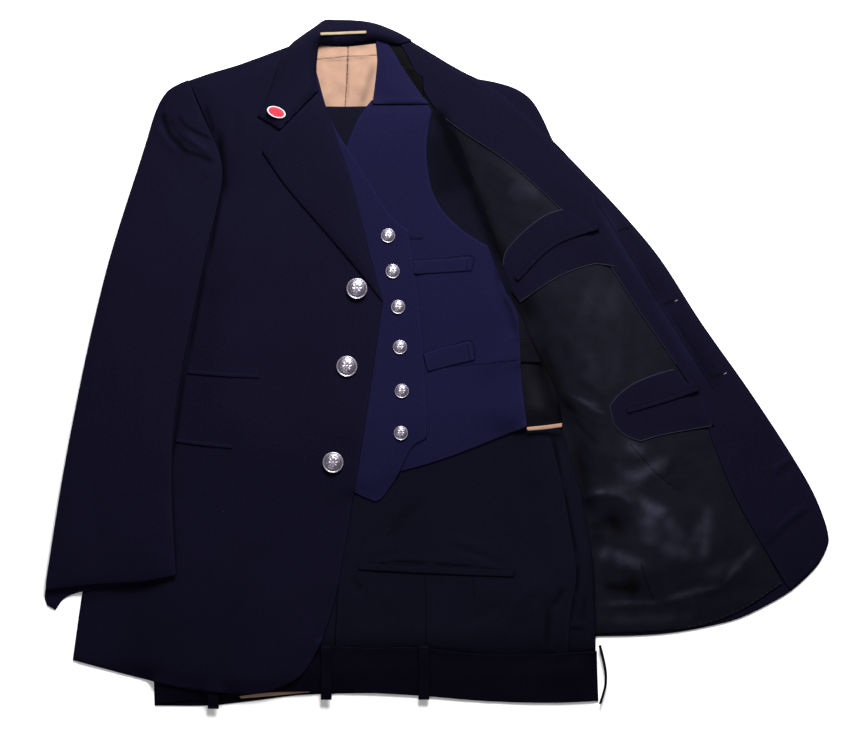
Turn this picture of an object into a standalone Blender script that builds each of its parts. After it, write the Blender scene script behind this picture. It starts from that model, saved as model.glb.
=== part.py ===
"""Three-piece railroad conductor uniform, laid flat on its back with the collar towards +Y.

The coat's left front is thrown open so that its facing and lining show.  The waistcoat is
buttoned inside it, and the trousers are folded inside the waistcoat, waist end down.
Each cloth piece is drafted as an outline on the table it lies on (millimetres) and is laid
on the pieces under it in sewing order: it keeps a small gap over them, drapes over their
edges and then gets its own roll, padding and folds.
"""
import math

import bpy
import numpy as np
from mathutils import Vector
from mathutils.bvhtree import BVHTree
from mathutils.geometry import delaunay_2d_cdt

for old in list(bpy.data.objects):
    bpy.data.objects.remove(old, do_unlink=True)

# Driving sizes, in millimetres.
GAP = 0.45                  # clear space between two layers
MAP_PITCH = 2.0             # pitch of the height map that the pieces are laid on
MAP_HALF_X = 460.0
MAP_HALF_Y = 410.0
EDGE_PITCH = 15.0           # spacing of points round an outline
SEAM_MARGIN = 0.8           # how far round an edge the layer below is felt

SERGE = 2.2                 # coat cloth with its interlining
SUITING = 1.6               # waistcoat cloth
TROUSER_CLOTH = 1.5
SATEEN = 1.0                # linings
COLLAR_CLOTH = 2.4

SLEEVE_PUFF = 3.4           # how far a sleeve's top stands off its underside
SLEEVE_ROLL = 14.0          # width of its rounded fold
LEGS_THICK = 8.0            # the folded legs, all their layers together
LEGS_ROLL = 18.0
LEFT_SLEEVE_THICK = 10.0
LEFT_SLEEVE_ROLL = 32.0
VALLEY_WIDTH = 20.0         # flat ground between the waistcoat's edge and the opened front
CREST_DISTANCE = 34.0       # from the valley to the top of the opened front's roll
CREST_FALL = 0.78           # share of the roll lost again towards the free edge
CREST_FALL_WIDTH = 150.0
FREE_EDGE_WIDTH = 34.0      # the opened front is down on the table this far inside its edge
SHOULDER_PAD = 2.4
SHOULDER_REACH = 55.0
COLLAR_ROLL = 8.0           # how far the collar's fall stands up behind the neck
COLLAR_LIFT = 0.5           # and at its points
COLLAR_EDGE = 12.0          # width of its rounded edges
COLLAR_FRONT_Y = 270.0      # from its points up to the back of the neck
COLLAR_LENGTH = 90.0
LAPEL_ROLL = 2.6
LAPEL_EDGE = 7.0
LAPEL_REACH = 60.0

COAT_BUTTON = 24.5          # diameters
VEST_BUTTON = 17.0
COAT_BUTTON_SIDES = 20
VEST_BUTTON_SIDES = 16
PIN_LENGTH = 22.0
PIN_WIDTH = 12.0
PIN_SIDES = 20
PIN_TILT = -20.0            # degrees
PIN_X = -174.0
PIN_Y = 274.5
BUTTON_CROWN = 0.43         # height of the dome's middle as a share of its radius
BELT_LOOP_WIDTH = 12.0
BELT_LOOP_CLOTH = 1.6
SIDE_LOOP_FOOT = 0.0
SIDE_LOOP_TOP = 9.0
SIDE_LOOP_LEAN = 2.6        # how far its upper edge leans back over the waistband


def table(text):
    """Rows of a text table as dictionaries under its column names."""
    lines = [line.split() for line in text.strip().splitlines()]
    names = lines[0]
    rows = []
    for line in lines[1:]:
        row = dict(zip(names, line))
        for key, value in row.items():
            if value.lstrip("-").replace(".", "", 1).isdigit():
                row[key] = float(value)
        rows.append(row)
    return rows


# Pattern pieces: outline points in mm, each with the edge it belongs to.
COAT_BACK = table("""
    edge         x      y  turn
    shoulder    -271    305  sharp
    neck        -128    361  sharp
    neck        -100    355  round
    shoulder     -51    361  sharp
    shoulder      20    323  round
    armhole       73    290  sharp
    armhole       67    235  round
    side          81    164  sharp
    side         119     -7  round
    side         162   -194  round
    hem          168   -290  sharp
    hem         -106   -320  round
    hem         -260   -345  round
    side        -392   -322  sharp
    side        -357   -117  round
    armhole     -291    174  sharp
    armhole     -264    246  round
""")
SLEEVE_LEFT = table("""
    edge         x      y  turn
    head          44    313  sharp
    head          66    309  round
    head          88    302  round
    head         105    290  round
    head         117    271  round
    fold         129    245  round
    fold         169    175  round
    fold         235     37  round
    fold         303   -139  round
    cuff         331   -216  sharp
    fold         206   -251  sharp
    fold         194   -155  round
    fold         172    -70  round
    fold         136     29  round
    fold         110    106  round
    head          88    180  round
    head          70    246  round
""")
COAT_FRONT_LEFT = table("""
    edge         x      y  turn
    shoulder     -42    364  sharp
    shoulder      19    327  round
    shoulder      68    299  round
    front        124    249  round
    front        169    204  round
    front        212    158  round
    front        248    114  round
    front        291     47  round
    front        352    -40  round
    front        408   -128  round
    front        427   -170  round
    front        432   -197  round
    front        422   -219  round
    front        392   -249  round
    hem          352   -272  round
    hem          325   -283  round
    hem          268   -295  round
    hem          224   -299  round
    hinge        167   -300  sharp
    hinge        156   -194  round
    hinge        119    -69  round
    hinge         75     54  round
    hinge         28    174  round
    hinge        -36    304  round
    hinge        -60    350  sharp
""")
COAT_LINING_LEFT = table("""
    edge         x      y  turn
    neck         -56    348  sharp
    facing       -45    354  sharp
    facing       -27    337  round
    facing         5    282  round
    facing        89    221  round
    facing       140    174  round
    facing       176    139  round
    facing       221     72  round
    facing       293    -37  round
    facing       311    -87  round
    facing       337   -151  round
    hem          381   -242  sharp
    hem          332   -273  round
    hem          279   -290  round
    hinge        170   -297  sharp
    hinge        159   -194  round
    hinge        123    -69  round
    hinge         79     54  round
    hinge         31    174  round
    hinge        -32    301  round
""")
COAT_FACING_LEFT = table("""
    edge         x      y  turn
    lining       -45    361  sharp
    lining       -29    334  round
    lining         1    278  round
    lining        84    217  round
    lining       136    170  round
    lining       170    138  round
    lining       216     68  round
    lining       288    -40  round
    lining       305    -89  round
    lining       332   -153  round
    front        389   -249  sharp
    front        419   -220  round
    front        430   -197  round
    front        425   -172  round
    front        405   -129  round
    front        349    -41  round
    front        289     46  round
    front        246    112  round
    front        190    177  round
    front        122    246  round
    front         67    297  round
    front         18    324  round
    front        -42    362  sharp
""")
INNER_POCKET_UPPER = table("""
    edge         x      y  turn
    end           81     82  round
    end           74    103  round
    end           76    121  round
    top          100    148  round
    top          123    164  round
    facing       139    169  sharp
    facing       169    152  round
    end          198    106  sharp
    bottom       176    109  round
    bottom       136     96  round
    end           92     67  sharp
""")
INNER_POCKET_LOWER = table("""
    edge         x      y  turn
    end          195    -67  round
    end          190    -46  round
    top          201    -33  round
    top          216    -22  round
    top          240    -12  round
    facing       261     -6  sharp
    facing       295    -42  round
    bottom       305    -68  sharp
    bottom       269    -74  round
    bottom       240    -80  round
    bottom       224    -85  round
    bottom       208    -79  round
""")
COAT_FRONT_RIGHT = table("""
    edge         x      y  turn
    shoulder    -272    311  sharp
    shoulder    -249    319  round
    shoulder    -218    328  round
    shoulder    -150    353  round
    neck        -128    361  sharp
    neck        -130    306  round
    roll        -116    264  round
    roll         -93    194  round
    roll         -72    112  round
    front        -58     67  sharp
    front        -76    -59  round
    front       -100   -205  round
    front       -115   -276  round
    front       -145   -339  round
    front       -192   -361  round
    hem         -260   -358  round
    hem         -315   -348  round
    side        -399   -326  sharp
    side        -388   -249  round
    side        -361    -95  round
    side        -335     37  round
    armhole     -306    156  sharp
    armhole     -266    165  round
    armhole     -239    191  round
    armhole     -237    224  round
    armhole     -254    271  round
""")
COAT_LAPEL = table("""
    edge         x      y  turn
    gorge       -170    255  sharp
    edge        -190    232  sharp
    edge        -164    194  round
    edge        -122    145  round
    edge         -84    100  round
    roll         -57     66  sharp
    roll         -70    112  round
    roll         -91    194  round
    roll        -114    264  round
    gorge       -127    299  sharp
""")
COAT_COLLAR = table("""
    edge         x      y  turn
    gorge       -170.6  255.4  sharp
    fall        -195    271  sharp
    fall        -184    293  round
    fall        -171    331  round
    fall        -160    350  round
    fall        -141    365  round
    fall        -122    378  sharp
    fall         -95    378  round
    fall         -69    375  round
    fall         -45    366  round
    end          -25    355  sharp
    end          -42    350  round
    neck         -66    355  sharp
    neck        -106    349  round
    neck        -128    349  sharp
    neck        -132    317  round
    gorge       -127.6  299.4  sharp
""")
SLEEVE_RIGHT_UNDER = table("""
    edge         x      y  turn
    head        -273    308  sharp
    head        -291    299  round
    head        -304    282  round
    head        -315    244  round
    fold        -361     90  round
    fold        -400    -86  round
    fold        -425   -235  round
    fold        -430   -255  round
    cuff        -427   -266  round
    cuff        -418   -271  round
    cuff        -408   -258  round
    cuff        -387   -250  round
    fold        -289   -235  sharp
    fold        -293   -128  round
    fold        -280     -7  round
    fold        -251    136  round
    head        -242    219  round
    head        -254    263  round
""")
SLEEVE_RIGHT_TOP = table("""
    edge         x      y  turn
    head        -271    311  sharp
    head        -293    300  round
    head        -306    280  round
    head        -316    249  round
    fold        -364     92  round
    fold        -402    -84  round
    fold        -427   -235  round
    cuff        -428   -248  sharp
    cuff        -367   -242  round
    cuff        -320   -239  round
    fold        -284   -232  sharp
    fold        -289   -120  round
    fold        -284    -43  round
    fold        -256    100  round
    head        -234    200  round
    head        -237    230  round
    head        -258    278  round
""")
VEST_BACK = table("""
    edge         x      y  turn
    neck        -128    345  sharp
    neck         -67    348  sharp
    shoulder     -14    315  sharp
    armhole       -9    257  round
    armhole        4    197  round
    side          32    145  sharp
    side         101     -7  round
    hem          120    -66  sharp
    hem         -117    -89  round
    hem         -240    -81  sharp
    armhole     -216    136  sharp
    armhole     -170    257  round
    shoulder    -172    321  sharp
""")
VEST_BACK_LINING = table("""
    edge         x      y  turn
    neck        -133    351  sharp
    neck        -101    348  round
    neck         -64    352  sharp
    side         -54    328  round
    side         -48    268  round
    side         -52    224  sharp
    fold        -144    224  sharp
    fold        -144    279  round
    fold        -141    323  round
""")
TROUSER_LEGS = table("""
    edge         x      y  turn
    fold        -192    277  round
    fold        -150    282  round
    fold        -101    282  round
    fold         -40    282  round
    fold           4    277  round
    side          41    205  round
    side          83     79  round
    side         132    -73  round
    side         164   -210  round
    side         170   -271  round
    waist        171   -312  sharp
    waist         -7   -310  round
    waist       -123   -308  round
    waist       -216   -319  round
    side        -300   -330  sharp
    side        -256    -40  round
    side        -207    180  round
    side        -201    257  round
""")
TROUSER_FRONT_LEFT = table("""
    edge         x      y  turn
    top          103    -45  sharp
    side         124    -43  sharp
    side         139    -76  round
    side         158   -140  round
    side         169   -195  round
    side         174   -238  round
    waist        176   -327  sharp
    waist        132   -328  sharp
    inner        136   -260  round
    inner        138   -205  round
    inner        127   -139  round
    inner        114    -84  round
""")
TROUSER_BACK_LEFT = table("""
    edge         x      y  turn
    top          -93    -53  sharp
    side         114    -44  sharp
    side         136   -121  round
    side         152   -209  round
    side         154   -238  round
    side         148   -272  round
    waist        145   -328  sharp
    waist         52   -330  round
    waist         -6   -324  round
    centre      -111   -322  sharp
    centre      -106   -238  round
    centre       -98   -139  round
""")
TROUSER_BACK_RIGHT = table("""
    edge         x      y  turn
    top         -247    -53  sharp
    centre       -94    -53  sharp
    centre      -100   -139  round
    centre      -107   -238  round
    waist       -112   -322  sharp
    waist       -205   -333  round
    side        -302   -351  sharp
    side        -278   -150  round
""")
WAISTBAND_FRONT = table("""
    edge         x      y  turn
    side        -310   -339  sharp
    bottom      -309   -376  sharp
    bottom      -250   -376  round
    bottom      -210   -372  round
    bottom      -140   -364  round
    bottom       -18   -363  round
    bottom        54   -367  round
    bottom       140   -370  round
    side         173   -368  sharp
    top          172   -321  sharp
    top           52   -323  round
    top           -7   -317  round
    top         -123   -315  round
    top         -216   -326  round
""")
WAISTBAND_LINING = table("""
    edge         x      y  turn
    side        -225   -350  sharp
    bottom      -214   -368  sharp
    bottom      -178   -365  round
    side        -138   -361  sharp
    side        -136   -345  sharp
""")
WAISTBAND_BACK = table("""
    edge         x      y  turn
    top         -304   -339  sharp
    top         -205   -321  round
    top         -123   -310  round
    top          -72   -312  round
    top          -22   -311  round
    top           52   -319  round
    top          112   -319  round
    side         177   -315  sharp
    bottom       179   -371  sharp
    bottom       125   -373  round
    bottom        54   -371  round
    bottom       -19   -365  round
    bottom      -103   -361  round
    bottom      -178   -361  round
    bottom      -213   -365  round
    side        -308   -374  sharp
""")
VEST_SIDE = table("""
    edge         x      y  turn
    top           70     79  sharp
    top           82     74  round
    side         106     26  round
    side         132    -29  round
    hem          139    -67  sharp
    hem          119    -69  round
    seam          92    -73  sharp
    seam          83    -18  round
    seam          79     31  round
""")
VEST_HEM_LINING = table("""
    edge         x      y  turn
    top           99    -69.5  sharp
    bottom       100    -73.5  sharp
    bottom       119    -72    round
    side         138    -69.5  sharp
    side         138    -65    sharp
    top          119    -67.5  round
""")
VEST_FRONT_LEFT = table("""
    edge         x      y  turn
    shoulder     -70    289  sharp
    shoulder      -9    284  round
    armhole       -4    276  sharp
    armhole      -10    235  round
    armhole       -4    191  round
    armhole       10    165  round
    armhole       34    143  round
    side          57    129  sharp
    side          79     74  round
    side          90     54  round
    side          94    -18  round
    hem          100    -69  sharp
    hem            2   -107  round
    closing      -93   -132  sharp
    closing     -115     70  round
    closing     -119    180  sharp
    neck         -98    236  round
    neck         -86    267  round
""")
VEST_FRONT_RIGHT = table("""
    edge         x      y  turn
    shoulder    -168    315  sharp
    neck        -133    328  sharp
    neck        -114    266  round
    neck         -78    208  round
    neck         -49    162  round
    closing      -30    146  sharp
    closing      -18     65  round
    closing       -9    -62  round
    hem          -10    -82  sharp
    hem          -25    -91  round
    hem          -41   -122  round
    hem          -59   -148  round
    hem          -66   -152  round
    hem         -161   -108  round
    side        -236    -84  sharp
    side        -236     15  round
    armhole     -216    125  sharp
    armhole     -177    165  round
    armhole     -159    202  round
    armhole     -160    257  round
""")
VEST_YOKE_LEFT = table("""
    edge         x      y  turn
    neck         -66    356  sharp
    neck         -53    352  round
    shoulder     -38    328  round
    shoulder     -22    304  round
    seam          -7    284  sharp
    seam         -69    284  sharp
    seam         -64    334  round
""")
VEST_STRAP = table("""
    edge         x      y  turn
    seam          83     26  sharp
    top          105     26  sharp
    end          110     14  round
    end          117      1  sharp
    bottom        84      1  sharp
""")

# Soft folds: a ridge from one point to another, its half width and its height.
SLEEVE_HEAD_FOLDS = table("""
    x1    y1    x2    y2   width  height
  -292   272  -262   205    6.0    2.0
  -276   262  -240   214    5.0    1.6
  -268   238  -236   220    4.5    1.4
  -300   230  -285   150    8.0    1.2
""")
CUFF_FOLDS = table("""
    x1    y1    x2    y2   width  height
  -400  -150  -300  -135   10.0    0.8
  -390   -60  -330    20   12.0    1.0
""")
FRONT_FOLDS = table("""
    x1    y1    x2    y2   width  height
  -224   150  -236    40    9.0    1.2
  -170  -250  -240  -330   14.0    1.4
""")
LINING_FOLDS = table("""
    x1    y1    x2    y2   width  height
   140   -95   215  -108   11.0    3.0
   150  -140   235  -160   10.0    4.0
   172  -178   236  -232    9.0    3.5
   196  -205   262  -168    9.0    3.0
   214   -90   262  -138    8.0    1.8
   120   -20   170   -70   12.0    2.4
    90   120   130    60   12.0    1.6
    40   240    96   176   11.0    1.8
""")
FACING_FOLDS = table("""
    x1    y1    x2    y2   width  height
   176   178   243    72   10.0    1.8
   243    72   305   -25   10.0    1.8
""")
SEAT_FOLDS = table("""
    x1    y1    x2    y2   width  height
   -80  -222    70  -216    6.0    1.6
    30  -240    90  -262    7.0    1.5
    96  -262   140  -246    6.0    2.2
   148  -262   150  -306    5.0    2.4
   110  -160   140  -210    9.0    1.6
   -10  -245   -12  -306    4.0    0.7
""")
VEST_FOLDS = table("""
    x1    y1    x2    y2   width  height
    18   190    52   150    9.0    1.2
    30    60    88    48   10.0    1.0
    40   -40    86   -58   10.0    1.0
""")

# Height of the opened front's roll along the coat, by distance up from the hem.
CREST = table("""
    y    height
  -310      1.5
  -270      3.0
  -200      4.5
  -100      4.5
    20      3.5
   150      2.5
   260      1.5
   340      0.5
""")

# Jets, welts and loops: centre line, width and how proud they stand.
STRIPS = table("""
    name                    x1    y1    xm    ym    x2    y2   width  proud
    coat_pocket_upper     -272    -9  -232   -12  -193   -14    4.4    1.0
    coat_pocket_lower     -285   -84  -252   -88  -222   -91    4.4    1.0
    coat_inner_jets_upper   88    92   128   130   178   150    6.0    1.0
    coat_inner_jets_lower  209   -52   250   -40   288   -27    6.0    1.0
    vest_welt_upper        -24   105     7   107    38   109   15.0    1.0
    vest_welt_lower        -11     1    14     8    40    14   21.0    1.0
    trousers_back_pocket   -85  -222   -10  -226    86  -230    8.0    1.1
    coat_hanger_loop      -126   360  -101   362   -76   363    3.2    1.0
""")
BUTTONS = table("""
    name            x      y   kind
    coat_button_1  -86     82  coat
    coat_button_2  -97     -3  coat
    coat_button_3 -112   -108  coat
    vest_button_1  -52    140  vest
    vest_button_2  -47    101  vest
    vest_button_3  -41     62  vest
    vest_button_4  -39     18  vest
    vest_button_5  -37    -30  vest
    vest_button_6  -38    -76  vest
""")
BELT_LOOPS = table("""
    name                  x    top  bottom
    belt_loop_centre   -120   -308    -369
    belt_loop_left      -13   -308    -369
    belt_loop_right    -244   -330    -379
""")
# A domed button from the cloth up: radius and height as shares of its radius.
BUTTON_PROFILE = table("""
    r      z
  0.90   0.00
  1.00   0.10
  1.00   0.20
  0.93   0.27
  0.86   0.22
  0.74   0.31
  0.45   0.40
""")
# The pin from the collar up: share of its outline, height.
PIN_PROFILE = table("""
    r      z
  0.96   0.00
  1.00   0.90
  0.94   1.50
  0.84   1.20
""")


# Plane geometry.
def outline(rows, pitch=EDGE_PITCH):
    """A closed anticlockwise line through a table's rows, and the edge name of each point."""
    marks = np.array([[row["x"], row["y"]] for row in rows])
    sharp = [row["turn"] == "sharp" for row in rows]
    names = [row["edge"] for row in rows]
    count = len(rows)
    area = 0.0
    for i in range(count):
        j = (i + 1) % count
        area += marks[i][0] * marks[j][1] - marks[j][0] * marks[i][1]
    if area < 0:
        marks = marks[::-1]
        sharp = sharp[::-1]
        names = names[::-1]
    points = []
    edges = []
    for i in range(count):
        a, b = marks[i], marks[(i + 1) % count]
        before = a if sharp[i] else marks[i - 1]
        after = b if sharp[(i + 1) % count] else marks[(i + 2) % count]
        run = np.linalg.norm(b - a)
        slope_a = (b - before) / (run + np.linalg.norm(a - before)) * run
        slope_b = (after - a) / (run + np.linalg.norm(after - b)) * run
        steps = max(1, int(round(run / pitch)))
        for k in range(steps):
            t = k / steps
            points.append((2 * t ** 3 - 3 * t ** 2 + 1) * a + (t ** 3 - 2 * t ** 2 + t) * slope_a
                          + (3 * t ** 2 - 2 * t ** 3) * b + (t ** 3 - t ** 2) * slope_b)
            edges.append(names[i])
    return np.array(points), edges


def distance_to(points, a, b):
    """Distance from each point to the nearest of the lengths a[i] to b[i]."""
    best = np.full(len(points), 1e9)
    for start, stop in zip(a, b):
        run = stop - start
        share = np.clip(((points - start) @ run) / max(run @ run, 1e-9), 0, 1)
        gap = np.linalg.norm(points - start - share[:, None] * run, axis=1)
        best = np.minimum(best, gap)
    return best


def edge_distance(points, loop):
    return distance_to(points, loop, np.roll(loop, -1, axis=0))


def named_distance(points, loop, edges, name):
    """Distance to the part of the outline that carries one edge name."""
    picks = [i for i, edge in enumerate(edges) if edge == name]
    following = [(i + 1) % len(loop) for i in picks]
    return distance_to(points, loop[picks], loop[following])


def inside(points, loop):
    """True for the points within the outline."""
    found = np.zeros(len(points), bool)
    ends = np.roll(loop, -1, axis=0)
    for (ax, ay), (bx, by) in zip(loop, ends):
        if ay == by:
            continue
        spans = (points[:, 1] > ay) != (points[:, 1] > by)
        cross = ax + (points[:, 1] - ay) * (bx - ax) / (by - ay)
        found ^= spans & (points[:, 0] < cross)
    return found


def fill(loop, cell, rings):
    """Triangles over the outline, with offset rings and a lattice of inner points."""
    points = [tuple(p) for p in loop]
    tangent = np.roll(loop, -1, axis=0) - np.roll(loop, 1, axis=0)
    tangent /= np.linalg.norm(tangent, axis=1)[:, None]
    inward = np.stack([-tangent[:, 1], tangent[:, 0]], axis=1)
    for ring in rings:
        moved = loop + inward * ring
        keep = inside(moved, loop) & (edge_distance(moved, loop) > 0.93 * ring)
        points += [tuple(p) for p in moved[keep]]
    if cell:
        low, high = loop.min(axis=0), loop.max(axis=0)
        row_pitch = cell * math.sqrt(0.75)
        grid = []
        for j in range(int((high[1] - low[1]) / row_pitch) + 1):
            for i in range(int((high[0] - low[0]) / cell) + 2):
                grid.append((low[0] + cell * (i + 0.5 * (j % 2)), low[1] + row_pitch * (j + 0.4)))
        grid = np.array(grid)
        grid = grid[inside(grid, loop)]
        margin = max([0.0, *rings]) + 0.6 * cell
        grid = grid[edge_distance(grid, loop) > margin]
        points += [tuple(p) for p in grid]
    flat = [Vector(p) for p in points]
    made = delaunay_2d_cdt(flat, [], [list(range(len(loop)))], 1, 1e-5)
    spots = np.array([tuple(v) for v in made[0]])
    order = {}
    for new, olds in enumerate(made[3]):
        for old in olds:
            order[old] = new
    rim = [order[i] for i in range(len(loop))]
    tris = []
    for face in made[2]:
        a, b, c = [spots[k] for k in face]
        turn = (b[0] - a[0]) * (c[1] - a[1]) - (b[1] - a[1]) * (c[0] - a[0])
        tris.append(tuple(face) if turn > 0 else tuple(reversed(face)))
    return spots, np.array(tris), rim


# The pile of cloth laid so far.
class Pile:
    """Height of the top of everything laid so far, as a map and as exact surfaces."""

    def __init__(self):
        self.nx = int(2 * MAP_HALF_X / MAP_PITCH)
        self.ny = int(2 * MAP_HALF_Y / MAP_PITCH)
        self.height = np.zeros((self.ny, self.nx))
        self.verts = []
        self.faces = []
        self.tree = None

    def cells(self, spots, tris):
        """Map cells whose centres lie in each triangle, with their three weights."""
        found = []
        grid = (spots + [MAP_HALF_X, MAP_HALF_Y]) / MAP_PITCH - 0.5
        for index, tri in enumerate(tris):
            a, b, c = grid[tri]
            x0, y0 = np.ceil(np.minimum(np.minimum(a, b), c)).astype(int)
            x1, y1 = np.floor(np.maximum(np.maximum(a, b), c)).astype(int)
            if x1 < x0 or y1 < y0:
                continue
            ix, iy = np.meshgrid(np.arange(x0, x1 + 1), np.arange(y0, y1 + 1))
            ix, iy = ix.ravel(), iy.ravel()
            area = (b[0] - a[0]) * (c[1] - a[1]) - (b[1] - a[1]) * (c[0] - a[0])
            if area < 1e-9:
                continue
            wb = ((ix - a[0]) * (c[1] - a[1]) - (iy - a[1]) * (c[0] - a[0])) / area
            wc = ((b[0] - a[0]) * (iy - a[1]) - (b[1] - a[1]) * (ix - a[0])) / area
            wa = 1 - wb - wc
            keep = (wa >= -1e-6) & (wb >= -1e-6) & (wc >= -1e-6)
            if keep.any():
                rows = np.stack([np.full(keep.sum(), index), ix[keep], iy[keep],
                                 wa[keep], wb[keep], wc[keep]], axis=1)
                found.append(rows)
        if not found:
            return np.zeros((0, 6))
        return np.concatenate(found)

    def exact(self, points):
        """Top of the pile at each point, felt a little way round it too."""
        out = np.zeros(len(points))
        if self.tree is None:
            return out
        reach = SEAM_MARGIN
        down = Vector((0, 0, -1))
        for k, (x, y) in enumerate(points):
            for dx, dy in ((0, 0), (reach, 0), (-reach, 0), (0, reach), (0, -reach)):
                hit = self.tree.ray_cast(Vector((x + dx, y + dy, 500.0)), down)
                if hit[0] is not None:
                    out[k] = max(out[k], hit[0].z)
        return out

    def softened(self, spread):
        """The map blurred by a bell of the given spread in millimetres."""
        half = int(3 * spread / MAP_PITCH)
        bell = np.exp(-0.5 * (np.arange(-half, half + 1) * MAP_PITCH / spread) ** 2)
        bell /= bell.sum()
        rows = np.apply_along_axis(np.convolve, 1, self.height, bell, "same")
        return np.apply_along_axis(np.convolve, 0, rows, bell, "same")

    def read(self, field, points):
        grid = (points + [MAP_HALF_X, MAP_HALF_Y]) / MAP_PITCH - 0.5
        low = np.floor(grid).astype(int)
        part = grid - low
        x, y = low[:, 0], low[:, 1]
        u, v = part[:, 0], part[:, 1]
        return (field[y, x] * (1 - u) * (1 - v) + field[y, x + 1] * u * (1 - v)
                + field[y + 1, x] * (1 - u) * v + field[y + 1, x + 1] * u * v)

    def add(self, spots, tris, tops, cells):
        """Put a finished piece's upper face on the pile."""
        if len(cells):
            index = cells[:, 0].astype(int)
            values = (cells[:, 3:6] * tops[tris[index]]).sum(axis=1)
            own = np.zeros_like(self.height)
            np.maximum.at(own, (cells[:, 2].astype(int), cells[:, 1].astype(int)), values)
            grown = own.copy()
            for axis in (0, 1):
                wide = np.maximum(np.roll(grown, 1, axis), np.roll(grown, -1, axis))
                grown = np.maximum(grown, np.where(own > 0, 0, wide))
            self.height = np.maximum(self.height, np.where(own > 0, own, grown))
        base = len(self.verts)
        self.verts += [(x, y, z) for (x, y), z in zip(spots, tops)]
        self.faces += [tuple(int(k) + base for k in tri) for tri in tris]
        self.tree = BVHTree.FromPolygons(self.verts, self.faces, all_triangles=True)


PILE = Pile()
PIECES = []


def neighbours(count, tris):
    pairs = np.concatenate([tris[:, [0, 1]], tris[:, [1, 2]], tris[:, [2, 0]]])
    pairs = np.concatenate([pairs, pairs[:, ::-1]])
    pairs = np.unique(pairs, axis=0)
    tally = np.bincount(pairs[:, 0], minlength=count).astype(float)
    return pairs, np.maximum(tally, 1)


def settle(spots, tris, cells, soft, rounds):
    """Lowest smooth underside that clears the pile by the gap."""
    count = len(spots)
    z = PILE.read(PILE.softened(soft), spots)
    index = cells[:, 0].astype(int)
    weights = cells[:, 3:6]
    under = PILE.height[cells[:, 2].astype(int), cells[:, 1].astype(int)]
    under = np.where(under > 0, under + GAP, 0)
    middles = (spots[tris] + spots[np.roll(tris, -1, axis=1)]) / 2
    edge_need = PILE.exact(middles.reshape(-1, 2)).reshape(-1, 3)
    edge_need = np.where(edge_need > 0, edge_need + GAP, 0)
    spot_need = PILE.exact(spots)
    spot_need = np.where(spot_need > 0, spot_need + GAP, 0)
    pairs, tally = neighbours(count, tris)
    power = (weights ** 2).sum(axis=1)
    for step in range(rounds + 14):
        if step < rounds:
            mean = np.bincount(pairs[:, 0], z[pairs[:, 1]], minlength=count) / tally
            z = z + 0.5 * (mean - z)
        z = np.maximum(z, spot_need)
        lack = under - (weights * z[tris[index]]).sum(axis=1)
        lift = np.zeros(count)
        bad = lack > 1e-4
        for k in range(3):
            np.maximum.at(lift, tris[index[bad], k], lack[bad] * weights[bad, k] / power[bad])
        for k in range(3):
            a, b = tris[:, k], tris[:, (k + 1) % 3]
            short = np.maximum(edge_need[:, k] - (z[a] + z[b]) / 2, 0)
            np.maximum.at(lift, a, short)
            np.maximum.at(lift, b, short)
        z = z + lift
    return z


def folds(points, rows, scale=1.0):
    """Height added by a table of soft ridges that die away at both ends."""
    total = np.zeros(len(points))
    for row in rows:
        a = np.array([row["x1"], row["y1"]])
        b = np.array([row["x2"], row["y2"]])
        run = b - a
        share = ((points - a) @ run) / (run @ run)
        off = points - a - np.clip(share, 0, 1)[:, None] * run
        across = np.linalg.norm(off, axis=1) / row["width"]
        along = np.clip(1.15 - 1.6 * np.abs(share - 0.5), 0, 1)
        total = total + scale * row["height"] * along * np.exp(-across ** 2)
    return total


def swell(distance, width):
    """Quarter round from 0 at the edge to 1 at the given width."""
    share = np.clip(distance / width, 0, 1)
    return np.sqrt(1 - (1 - share) ** 2)


def ease(share):
    share = np.clip(share, 0, 1)
    return share * share * (3 - 2 * share)


def make_solid(name, spots, tris, rim, bottoms, tops, look):
    """A closed wall between an underside and an upper side of the same triangles."""
    count = len(spots)
    verts = [(x, y, z) for (x, y), z in zip(spots, tops)]
    verts += [(x, y, z) for (x, y), z in zip(spots, bottoms)]
    faces = [tuple(int(k) for k in tri) for tri in tris]
    faces += [tuple(int(k) + count for k in tri[::-1]) for tri in tris]
    for i, a in enumerate(rim):
        b = rim[(i + 1) % len(rim)]
        faces.append((a + count, b + count, b))
        faces.append((a + count, b, a))
    PIECES.append((name, verts, faces, look))


def lay(name, rows, wall, look, cell=24.0, rings=(), soft=7.0, rounds=5, rise=None,
        thicken=None, ridges=(), pitch=EDGE_PITCH):
    """Lay one drafted piece on the pile and make its solid."""
    loop, edges = outline(rows, pitch)
    spots, tris, rim = fill(loop, cell, rings)
    cells = PILE.cells(spots, tris)
    under = settle(spots, tris, cells, soft, rounds)
    if rise:
        under = under + rise(spots, loop, edges)
    if ridges:
        fade = ease(edge_distance(spots, loop) / 14.0)
        under = under + folds(spots, ridges) * fade
    tops = under + wall
    if thicken:
        tops = tops + thicken(spots, loop, edges)
    make_solid(name, spots, tris, rim, under, tops, look)
    PILE.add(spots, tris, tops, cells)


def strip_rows(x1, y1, xm, ym, x2, y2, width):
    """A narrow piece along a bent centre line, as an outline table."""
    line = np.array([[x1, y1], [xm, ym], [x2, y2]])
    across = []
    for a, b in ((0, 1), (0, 2), (1, 2)):
        run = line[b] - line[a]
        across.append(np.array([-run[1], run[0]]) / np.linalg.norm(run) * width / 2)
    upper = [line[k] + across[k] for k in range(3)]
    lower = [line[k] - across[k] for k in range(3)]
    rows = []
    for k, point in enumerate(upper + lower[::-1]):
        turn = "round" if k in (1, 4) else "sharp"
        rows.append({"edge": "strip", "x": point[0], "y": point[1], "turn": turn})
    return rows


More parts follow.
